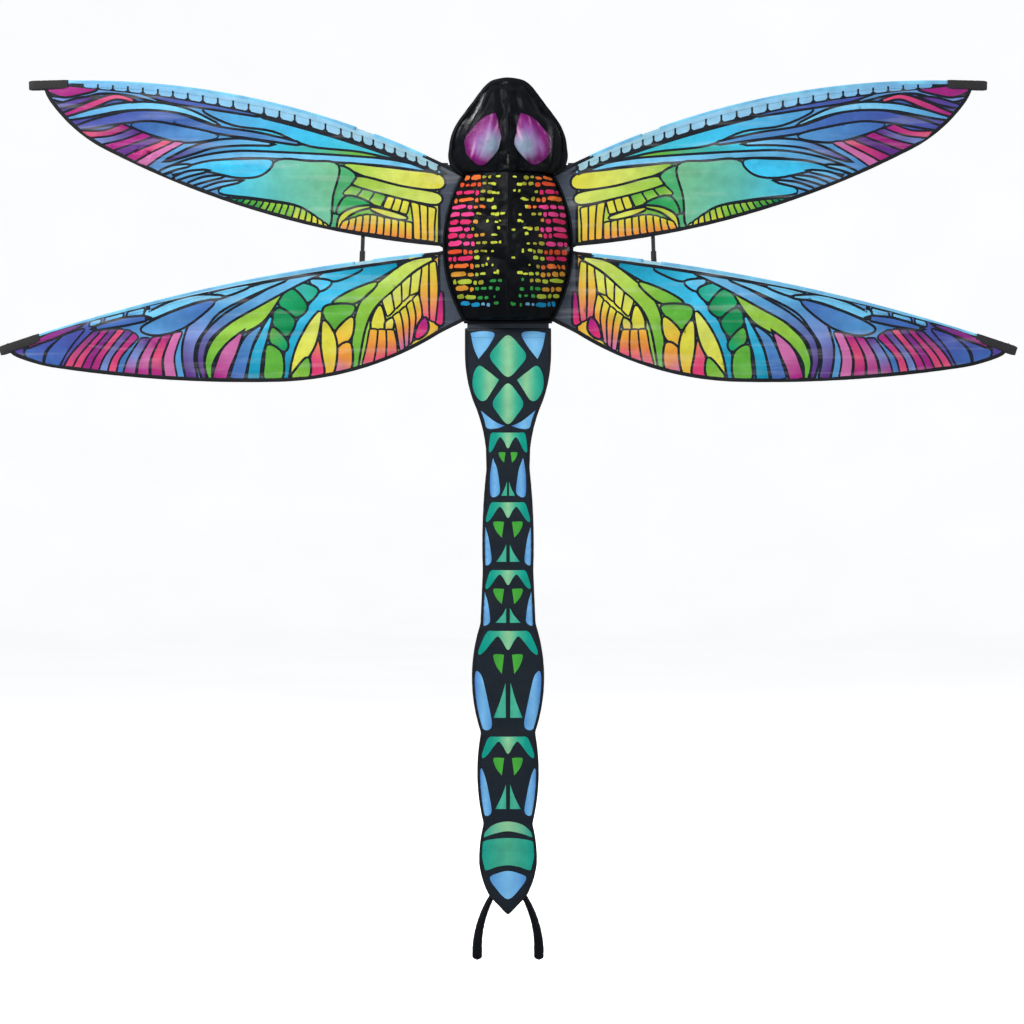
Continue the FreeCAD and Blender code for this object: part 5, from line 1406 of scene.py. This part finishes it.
def thorax_art(dome, dice):
    """Rows of lumpy bars at the sides and small dots towards the middle."""
    art = Print(dome.outline(), "070a0f")

    def blob(x, z, half_width, half_height, shade):
        seed = dice.random() * 50
        points = []
        for across, up in ellipse(half_width, half_height, 16, 0.7):
            lump = 1 + 0.4 * rumple(across / (3 * MM), seed, up / (4 * MM))
            points.append((x + across * (0.94 + 0.06 * lump), z + up * lump))
        art.region(points, (DOTS[shade],))

    top, pitch = -27 * MM, 12.9 * MM
    for number, (outer, middle) in enumerate(ROWS):
        for turn in SIDES.values():
            z = top - pitch * number + dice.uniform(-1.2, 1.2) * MM
            width = dome.width(z)
            x, end = width * 0.93, width * dice.uniform(0.5, 0.58)
            while x > end:
                bar = dice.choice((3.2, 5.5, 9, 13)) * MM
                bar = min(bar, max((x - end) / 2, 3 * MM))
                blob(turn * (x - bar), z + (x / width - 0.7) * 9 * MM, bar, dice.uniform(3.3, 4.4) * MM,
                     outer)
                x -= bar * 2 + 2.4 * MM
            for _ in range(dice.choice((1, 2, 2))):
                half = dice.uniform(2.2, 5) * MM
                blob(turn * (x - half), z + dice.uniform(-1, 1) * MM, half, dice.uniform(2.0, 3.6) * MM,
                     middle)
                x -= half * 2 + 3 * MM
            centre = ("YELLOW", "YELLOW", "GREEN")[min(2, number // 7)]
            for _ in range(dice.choice((1, 1, 2, 3))):
                x = width * dice.uniform(0.07, 0.34)
                blob(turn * x, z + dice.uniform(-2, 2) * MM, dice.uniform(1.5, 5) * MM,
                     dice.uniform(1.5, 3.4) * MM, centre)
    return art


def centre_seam(hood, thorax):
    """The raised seam down the middle of the head and thorax, and its stitches."""
    seam, sewn = [], []
    step = -3.0
    for number, (dome, start, end) in enumerate(((hood, 144, 12), (thorax, -17, -268))):
        heights = np.arange(start, end, step) * MM
        line = [dome.at(0, z, 0.6 * MM) for z in heights]
        seam.append(swept(f"seam{number}", line, lambda n, t: ellipse(1.7 * MM, 1.2 * MM, 8)))
        for x in (-3.2 * MM, 3.2 * MM):
            sewn.append([dome.at(x, z, 0.9 * MM) for z in heights])
    finish_piece(join("centre_seam", seam), "black_satin", "body")
    sew("centre_seam_stitches", sewn, "body", (0, 0, 0))


def build_rims():
    """The head's padded rim over its hoop, the thorax's piping and the hem at its lower end."""
    centre_y = middle_y("head_binding")
    heights = np.linspace(neck_z, head_top - 13 * MM, 40)
    right = [Vector((head_side(z) - 4.8 * MM, centre_y, z)) for z in heights]
    crown_start = right[-1]
    crown = []
    for n in range(1, 12):
        turn = math.pi * n / 12
        across = math.copysign(abs(math.cos(turn)) ** 1.3, math.cos(turn))
        crown.append(Vector((crown_start.x * across, centre_y,
                             crown_start.z + 8.5 * MM * math.sin(turn) ** 1.3)))
    line = right + crown + [Vector((-p.x, p.y, p.z)) for p in reversed(right)]
    line = resample(smooth_line(resample(line, 14 * MM), 5), 4 * MM)

    def rim_ring(n, t):
        ripple = 1 + 0.05 * rumple(n * 0.3, 1, 7)
        return ellipse(5.4 * MM * ripple, 3.6 * MM * ripple, 16, 0.75)

    rim = swept("head_rim", line, rim_ring)
    finish_piece(rim, "black_satin", "body", ["head_binding"])
    inner = [Vector((p.x * 0.945, p.y - 3.2 * MM,
                     p.z if p.z < 120 * MM else p.z - 4 * MM)) for p in line[4:-4]]
    sew("head_rim_stitches", [inner], "body")

    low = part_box("thorax_piping")[0]
    centre_y = middle_y("thorax_piping") - 0.4 * MM
    parts = []
    for turn in SIDES.values():
        heights = np.linspace(neck_z + 4 * MM, low.z + 2.5 * MM, 70)
        line = [Vector((turn * (thorax_side(z) - 2.5 * MM), centre_y, z)) for z in heights]
        parts.append(swept("side", line, lambda n, t: ellipse(2.9 * MM, 2.3 * MM, 12, 0.85)))
    end = thorax_side(low.z + 2.5 * MM)
    line = [Vector((x, centre_y, low.z + 2.6 * MM)) for x in np.linspace(-end, end, 40)]
    parts.append(swept("bottom", line, lambda n, t: ellipse(3.0 * MM, 2.4 * MM, 12, 0.6)))
    finish_piece(join("thorax_piping_cord", parts), "black_satin", "body", ["thorax_piping"])


# ---------------------------------------------------------------------------------------------
# Behind the body
# ---------------------------------------------------------------------------------------------
def flat_cloth(name, width_at, low, high, depth, spacing=6 * MM):
    """A flat sheet with straight ends; width_at gives its half-width at each height."""
    rows = max(2, round((high - low) / spacing))
    columns = 28
    heights = np.linspace(low, high, rows + 1)
    verts = []
    for z in heights:
        for share in np.linspace(-1, 1, columns + 1):
            x = share * width_at(z)
            verts.append((x, depth(share, x, z), z))
    cloth = mesh_object(name, verts, grid_faces(rows + 1, columns + 1, flipped=True))
    area = sum(width_at((a + b) / 2) * 2 * (b - a) for a, b in zip(heights, heights[1:]))
    width = 2 * max(width_at(z) for z in heights)
    return cloth, (width, high - low), area


def back_panel():
    low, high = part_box("body_back_panel")
    heights = np.linspace(low.z + 0.2 * MM, high.z - 0.2 * MM, 120)
    side = side_of("body_back_panel", heights)
    base = middle_y("body_back_panel")

    def depth(share, x, z):
        loose = (1 - share ** 2) * min(1.0, (z - low.z) / (30 * MM)) * min(1.0, (high.z - z) / (30 * MM))
        return base + loose * (2.2 * MM + 1.6 * MM * rumple(x * 20, z * 14, 3))

    panel, size, area = flat_cloth("body_back_cloth", side, heights[0], heights[-1], depth)
    thicken(panel, CLOTH_THICKNESS)
    finish_piece(panel, "dark_cloth", "body", ["body_back_panel"])


WAIST_TOP, WAIST_BOTTOM = -268 * MM, -296 * MM
WAIST_BEND_START, WAIST_BEND_END = -275 * MM, -290 * MM


def waist():
    """The cloth that joins the abdomen to the thorax, across the place where the abdomen folds."""
    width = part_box("abdomen_binding")[1].x - 4 * MM
    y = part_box("abdomen_panel")[1].y + 0.5 * MM
    strip, size, _ = flat_cloth("waist_cloth", lambda z: width, WAIST_BOTTOM, WAIST_TOP,
                                lambda share, x, z: y, 2 * MM)
    thicken(strip, 0.6 * MM)
    bend = ("body", "abdomen", (0, 0, WAIST_BEND_START), (0, 0, WAIST_BEND_END))
    finish_piece(strip, "dark_cloth", bend)


def strap(name, z_low, z_high, half_width, rod_y, rod_radius, back_y, closed_top=False,
          closed_bottom=False):
    """Webbing that lies flat on both sides of a rod and goes over it."""
    over = rod_radius + 0.5 * MM
    foot = over + 1.5 * MM
    profile = [(-half_width, back_y), (-foot - 1 * MM, back_y), (-foot, back_y + 0.3 * MM),
               (-over, back_y + 1.6 * MM), (-over, rod_y)]
    for n in range(1, 10):
        turn = math.pi * (1 - n / 10)
        profile.append((over * math.cos(turn), rod_y + over * math.sin(turn)))
    profile += [(over, rod_y)] + [(-x, y) for x, y in reversed(profile[:4])]
    rows = max(6, round((z_high - z_low) / (2 * MM)))
    verts = []
    for n in range(rows + 1):
        t = n / rows
        pressed = 0.0
        if closed_bottom:
            pressed = max(pressed, 1 - t * rows / 2.5)
        if closed_top:
            pressed = max(pressed, 1 - (1 - t) * rows / 2.5)
        for x, y in profile:
            verts.append((x, y + (back_y + 0.4 * MM - y) * pressed, z_low + (z_high - z_low) * t))
    return thicken(mesh_object(name, verts, grid_faces(rows + 1, len(profile))), 1.1 * MM)


LOOP_HEIGHTS = (-466, -589, -709, -1002, -1152)
LOOP_REACH = 6


def rod_straps():
    """Loops and end pockets of webbing that hold the rods behind the body and the abdomen."""
    rod_y = middle_y("body_spine")
    rod_radius = (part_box("body_spine")[1].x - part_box("body_spine")[0].x) / 2
    cloth_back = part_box("abdomen_panel")[1].y + 0.9 * MM
    half_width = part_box("rod_loops")[1].x
    loops, sewn = [], []
    for number, z in enumerate(LOOP_HEIGHTS):
        z_low, z_high = (z - LOOP_REACH) * MM, (z + LOOP_REACH) * MM
        loops.append(strap(f"loop{number}", z_low, z_high, half_width, rod_y, rod_radius, cloth_back))
        for x in (2 * MM - half_width, half_width - 2 * MM, 5 * MM - half_width, half_width - 5 * MM):
            ends = z_low + 1 * MM, z_high - 1 * MM
            sewn.append([Vector((x, cloth_back + 0.9 * MM, z)) for z in ends])
    finish_piece(join("rod_loop_straps", loops), "black_webbing", "abdomen", ["rod_loops"])
    sew("rod_loop_stitches", sewn, "abdomen", (0, 0, 0))
    for node, body, top, bottom in (("spine_top_pocket", "body", True, False),
                                    ("tail_pocket", "abdomen", False, True)):
        low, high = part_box(node)
        pocket = strap(f"{node}_webbing", low.z, high.z, high.x, rod_y, rod_radius, low.y + 1 * MM, top,
                       bottom)
        finish_piece(pocket, "black_webbing", body, [node])


def tow_tab():
    """A folded tab of webbing with a round end, sewn into the neck's seam, round its eyelet."""
    low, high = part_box("tow_tab")
    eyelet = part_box("tow_eyelet")
    hole = (eyelet[1].z - eyelet[0].z) / 2 - 0.6 * MM
    inner = hole * 0.96
    sides = 40
    verts = []
    for n in range(sides):
        turn = 2 * math.pi * n / sides
        c, s = math.cos(turn), math.sin(turn)
        if c < 0:
            outer = math.hypot(low.y * c, high.z * s)
        else:
            outer = min(high.y / max(c, 1e-6), high.z / max(abs(s), 1e-6))
        for share in (0, 0.5, 1):
            distance = inner + (outer - inner) * share
            verts.append((0, c * distance, s * distance))
    tab = mesh_object("tow_tab_webbing", verts, grid_faces(sides, 3, wrap_rows=True))
    thicken(tab, high.x - low.x)
    finish_piece(tab, "black_webbing", "body", ["tow_tab"])


# ---------------------------------------------------------------------------------------------
# Abdomen and claspers
# ---------------------------------------------------------------------------------------------
SEAMS = [z * MM for z in (-286, -466, -589, -709, -815, -1002, -1152, -1322)]
HEM_REACH = 4 * MM


class AbdomenShape:
    def __init__(self):
        low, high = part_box("abdomen_binding")
        self.low, self.high = low.z, high.z
        heights = np.linspace(low.z + 0.2 * MM, high.z - 0.2 * MM, 260)
        self.half = side_of("abdomen_binding", heights)
        self.y = middle_y("abdomen_panel")

    def outline(self, inset=1 * MM):
        heights = np.linspace(self.high - inset, self.low + inset * 2, 150)
        right = [(self.half(z) - inset * 0.6, z) for z in heights]
        return right + [(-x, z) for x, z in reversed(right)]

    def depth(self, x, z):
        """Each segment bellies a little, and its seams draw the cloth into short puckers."""
        half = max(self.half(z) - HEM_REACH, 2 * MM)
        across = max(0.0, 1 - (x / half) ** 2)
        nearest = min(abs(z - seam) for seam in SEAMS)
        belly = 2.6 * MM * min(1.0, nearest / (26 * MM)) ** 0.6
        pucker = 1.5 * MM * rumple(x * 85, z * 9, 8) * math.exp(-nearest / (15 * MM))
        ripple = 1.3 * MM * rumple(x * 11, z * 38, 6)
        seam = 0.9 * MM * math.exp(-(nearest / (2.6 * MM)) ** 2)
        forward = (belly + ripple) * across ** 0.6 + pucker * across ** 0.3
        forward = (forward + math.hypot(forward, 0.4 * MM)) / 2
        return self.y - forward - seam


AQUA, JADE, MINT, AZURE = "00a896", "40c09c", "9cdca8", "84ccfc"


def abdomen_art(shape):
    art = Print(shape.outline(), "1a242f")

    def patch(shades, points, turn=1, steps=4):
        """A coloured patch, shaded from its left or inner side to its right or outer side."""
        outline = smooth_line(points, steps, closed=True)
        middle = sum(p.y for p in outline) / len(outline)
        ends = [Vector((pick(p.x for p in outline) * turn, middle)) for pick in (min, max)]
        art.region([(p.x * turn, p.y) for p in outline], shades, ends)

    def diamond(x, z, half_width, half_height):
        sides = [(0, 1), (0.62, 0.52), (1, 0), (0.62, -0.52), (0, -1), (-0.62, -0.52), (-1, 0),
                 (-0.62, 0.52)]
        patch((AQUA, JADE, MINT, JADE, AQUA),
              [(x + a * half_width, z + b * half_height) for a, b in sides])

    # The first segment: four diamonds between four blue corners.
    top = SEAMS[0]
    diamond(0, top - 50 * MM, 32 * MM, 37 * MM)
    diamond(0, top - 134 * MM, 27 * MM, 36 * MM)
    for turn in (-1, 1):
        corner = [(24, -10), (45, -6), (66, -9), (66, -9), (61, -34), (52, -55), (52, -55), (34, -32)]
        patch(("5ca4e4", AZURE, AZURE, "68b0ec"), [(x * MM, top + z * MM) for x, z in corner], turn)
        cheek = [(16, -92), (16, -92), (36, -76), (51, -67), (61, -82), (62, -106), (52, -126),
                 (40, -128), (28, -111)]
        patch((JADE, MINT, JADE, AQUA), [(x * MM, top + z * MM) for x, z in cheek], turn)
        foot = [(6, -173), (6, -173), (24, -165), (48, -146), (48, -146), (42, -162), (37, -177),
                (22, -178)]
        patch(("4484dc", AZURE, "68b0ec"), [(x * MM, top + z * MM) for x, z in foot], turn)
    # The middle segments repeat one pattern, stretched to each one's size.
    for upper, lower in zip(SEAMS[1:-2], SEAMS[2:-1]):
        tall = upper - lower
        stretch = 0.62 + 0.38 * tall / (123 * MM)
        growth = min(max(tall / MM - 115, 0) / 72, 1)
        # The waist's own patches stand closer to the middle.
        waist = upper == SEAMS[1]
        squeeze = 0.64 if waist else 1

        def at(x_share, down):
            z = upper - down * tall
            return shape.half(z) * x_share, z

        for turn in SIDES.values():
            drop = [(7, 40), (7, 40), (17, 39), (26, 41), (21, 56), (11, 68), (11, 68)]
            drop = [(x * squeeze, 40 + (down - 40) * squeeze) for x, down in drop]
            patch(("50bc40", "44b040"), [(x * MM, upper - down * stretch * MM) for x, down in drop], turn)
            inner = 0.66 - 0.12 * growth
            leaf = [(0.88, 0.41), (0.93, 0.5), (0.96, 0.66), (0.94, 0.84), (0.89, 0.955),
                    (inner + 0.12, 0.96)]
            leaf += [(inner, 0.9), (inner + 0.03, 0.74), (inner + 0.11, 0.56), (inner + 0.2, 0.45)]
            if waist:
                leaf = [(1.45 * share - 0.59, down) for share, down in leaf]
            patch(("5ca4ea", AZURE, "4888dc"), [at(*place) for place in leaf], turn)
            apex, foot = (0.74, 0.945) if waist else (0.67 - 0.15 * growth, 0.92 - 0.07 * growth)
            spike = [(0.07, apex), (0.07, apex), (0.22, apex * 0.5 + foot * 0.5), (0.46, foot),
                     (0.46, foot), (0.07, foot), (0.07, foot)]
            patch((JADE, "58c8ac", AQUA), [at(share * squeeze, down) for share, down in spike], turn, 3)
        crown = [(0, 5), (0.42, 5), (0.68, 6), (0.8, 20), (0.87, 35), (0.82, 40), (0.66, 33), (0.48, 20),
                 (0.33, 13), (0.18, 20), (0, 33)]
        right = [at(x, down * stretch * MM / tall) for x, down in crown]
        whole = right + [(-x, z) for x, z in reversed(right[1:-1])]
        patch((AQUA, AQUA, JADE, MINT, JADE, AQUA, AQUA), whole)
    # The last segment: a crescent, a wide panel and a blue point.
    tip = SEAMS[-2]
    crescent = [(0, -5), (26, -11), (42, -26), (43, -33), (26, -27), (0, -22)]
    panel = [(0, -34), (26, -36), (45, -42), (47, -60), (42, -84), (38, -91), (20, -85), (0, -82)]
    point = [(0, -92), (18, -96), (32, -104), (22, -122), (0, -142)]
    for shades, half in (((AQUA, MINT, AQUA), crescent), ((AQUA, "50bc98", AQUA), panel),
                         (("5ca4e8", AZURE, "5ca4e8"), point)):
        right = [(x * MM, tip + z * MM) for x, z in half]
        patch(shades, right + [(-x, z) for x, z in reversed(right[1:-1])])
    return art


def build_abdomen():
    shape = AbdomenShape()
    art = abdomen_art(shape)
    sheet = art.mesh("abdomen_sheet", lambda x, z: Vector((x, shape.depth(x, z), z)), 6.5 * MM)
    flip_faces(sheet)
    thicken(sheet, CLOTH_THICKNESS)
    finish_piece(sheet, "abdomen_print", "abdomen", ["abdomen_panel"])
    best_rectangle(art.outline)
    abs(area_of(art.outline))

    heights = np.linspace(shape.high - 3 * MM, shape.low + 4 * MM, 210)
    side = [Vector((shape.half(z) - 2.3 * MM, shape.y, z)) for z in heights]
    tip = [Vector((0, shape.y, shape.low + 2.5 * MM))]
    side = [p for p in side if p.x > 1.5 * MM]
    edge = side + tip + [Vector((-p.x, p.y, p.z)) for p in reversed(side)]
    edge = resample(edge, 5 * MM)

    def ring(n, t):
        pull = 1 + 0.1 * rumple(n * 0.5, 11, 0)
        return [(across * pull, up * pull) for across, up in ellipse(2.5 * MM, 0.95 * MM, 10, 0.5)]

    reach = side[0].x + 2 * MM
    across = [Vector((x, shape.y, shape.high - 3 * MM)) for x in np.linspace(-reach, reach, 30)]
    hem = join("abdomen_hem", [swept("edge", edge, ring), swept("across", across, ring)])
    finish_piece(hem, "black_tape", "abdomen", ["abdomen_binding"])

    rows = []
    places = [(seam + offset, 24) for seam in SEAMS[1:-1] for offset in (-2.4 * MM, 2.4 * MM)]
    for z, points in places + [(SEAMS[0] - 17 * MM, 30)]:
        reach = shape.half(z) - 6 * MM
        span = np.linspace(-reach, reach, points)
        rows.append([Vector((x, shape.depth(x, z) - 0.3 * MM, z)) for x in span])
    for turn in SIDES.values():
        line = [Vector((turn * (p.x - 2.6 * MM), shape.y - 1.1 * MM, p.z)) for p in side if p.x > 8 * MM]
        rows.append(line)
    sew("abdomen_stitches", rows, "abdomen")


def build_clasper(side):
    """A stuffed tube of satin that bends outwards and thickens to a round end."""
    node = f"{side}_clasper"
    low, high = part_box(node)
    heights = np.linspace(high.z - 3 * MM, low.z + 0.5 * MM, 44)
    left, right = spans([node], 2, heights)
    centre_y = middle_y(node)
    centres = [Vector(((a + b) / 2, centre_y, z)) for a, b, z in zip(left, right, heights)]
    halves = []
    for n, (a, b) in enumerate(zip(left, right)):
        along = (centres[min(n + 1, len(centres) - 1)] - centres[max(n - 1, 0)]).normalized()
        halves.append((b - a) / 2 * abs(along.z))
    end_half = max(halves)

    def ring(n, t):
        round_end = math.sqrt(max(0.02, 1 - max(0.0, (t - 0.94) / 0.06) ** 2))
        half = halves[min(n, len(halves) - 8)] if t > 0.85 else halves[n]
        pucker = 1 + 0.07 * rumple(n * 0.5, 4, SIDES[side])
        section = []
        for k, (across, up) in enumerate(ellipse(half, half, 18)):
            crease = 1 + 0.05 * rumple(n * 0.7, k * 0.9, SIDES[side])
            section.append((across * pucker * crease * round_end, up * pucker * crease * round_end))
        return section

    tube = swept(f"{node}_tube", centres, ring)
    finish_piece(tube, "black_satin", node, [node])
    seam = [p + Vector((-SIDES[side] * end_half * 0.7, -end_half * 0.72, 0)) for p in centres[6:-8]]
    sew(f"{node}_stitches", [seam], node, (0, 0.6 * MM, 0))


# ---------------------------------------------------------------------------------------------
# Frame pieces that keep their CAD shape
# ---------------------------------------------------------------------------------------------
def paint_frame():
    both = [f"{side}_{{}}" for side in SIDES]
    wings = [f"{side}_{wing}wing_{{}}" for side in SIDES for wing in ("fore", "hind")]
    finishes = {
        "carbon": [name.format("spar") for name in wings] + ["body_spine", "centre_spreaders"],
        "rod": [name.format("wing_strut") for name in both] + ["abdomen_rod_upper", "abdomen_rod_lower"],
        "vinyl": ["cross_connectors"] + [name.format("strut_connectors") for name in both],
        "moulded": [name.format("hinge_tongue") for name in wings]
        + ["hinge_clevises", "abdomen_hinge_clevis", "abdomen_hinge_tongue", "clasper_holders"],
        "hoop": ["head_hoop"],
        "steel": ["hinge_pins"],
        "brass": ["tow_eyelet"],
        "ferrule": ["rod_ferrule"],
    }
    for finish, nodes in finishes.items():
        for node in nodes:
            slots = NODES[node].material_slots
            if not slots:
                NODES[node].data.materials.append(MATERIALS[finish])
            for material_slot in slots:
                material_slot.material = MATERIALS[finish]


# ---------------------------------------------------------------------------------------------
# Build everything
# ---------------------------------------------------------------------------------------------
make_camera()
make_stage()
make_lights()

MATERIALS = {
    # The wing print's streaks value paints lengthwise sheen streaks into its colour.
    "wing_print": cloth_material("wing_print", None, 0.38, 0.04, RIPSTOP, glow=0.1, streaks=0.16),
    "sleeve_cloth": cloth_material("sleeve_cloth", "74bce8", 0.42, 0.06, RIPSTOP, 0.4 * MM),
    "black_tape": cloth_material("black_tape", "12151b", 0.55, 0.12, pitch=0.9 * MM),
    "black_satin": cloth_material("black_satin", "05080e", 0.34, 0.0, pitch=0.6 * MM, gloss_level=0.11),
    "thorax_print": cloth_material("thorax_print", None, 0.34, 0.0, pitch=0.6 * MM, gloss_level=0.11),
    "abdomen_print": cloth_material("abdomen_print", None, 0.42, 0.05, RIPSTOP, 0.6 * MM, glow=0.06),
    "eye_print": cloth_material("eye_print", None, 0.3, 0.0, pitch=0.6 * MM, gloss_level=0.25),
    "dark_cloth": cloth_material("dark_cloth", "30363f", 0.5, 0.1, RIPSTOP, 0.4 * MM),
    "black_webbing": webbing_material(),
    "thread": plastic_material("thread", "1c1c20", 0.6),
    "carbon": rod_material("carbon_rod", "101013", 0.34, 0.35),
    "rod": rod_material("black_rod", "0c0c0e", 0.42, 0.15),
    "vinyl": plastic_material("black_vinyl", "0d0d0f", 0.5),
    "moulded": plastic_material("moulded_plastic", "131316", 0.38),
    "hoop": plastic_material("hoop_plastic", "1a1a1d", 0.45),
    "steel": metal_material("steel_pin", "b4b6ba", 0.3),
    "brass": metal_material("eyelet_metal", "c9c2b0", 0.28),
    "ferrule": metal_material("ferrule_metal", "aeb2b6", 0.32),
}

for side in SIDES:
    for wing in ("fore", "hind"):
        build_wing(side, wing)
    build_clasper(side)

hood_dome = Dome(head_heights, hood_widths, hood_rises, hood_wrinkle)
thorax_dome = Dome(dome_heights, shell_widths, shell_rise, thorax_wrinkle)
hood_art = Print(hood_dome.outline(), "05080e")
hood_dome.skin(hood_art, "head_hood_cloth", 3.5 * MM, "black_satin", "head_hood")
eye_panels(hood_dome)
dots = thorax_art(thorax_dome, random.Random(18))
thorax_dome.skin(dots, "thorax_skin", 4 * MM, "thorax_print", "thorax_shell")
centre_seam(hood_dome, thorax_dome)
build_rims()
back_panel()
waist()
rod_straps()
tow_tab()
build_abdomen()
paint_frame()
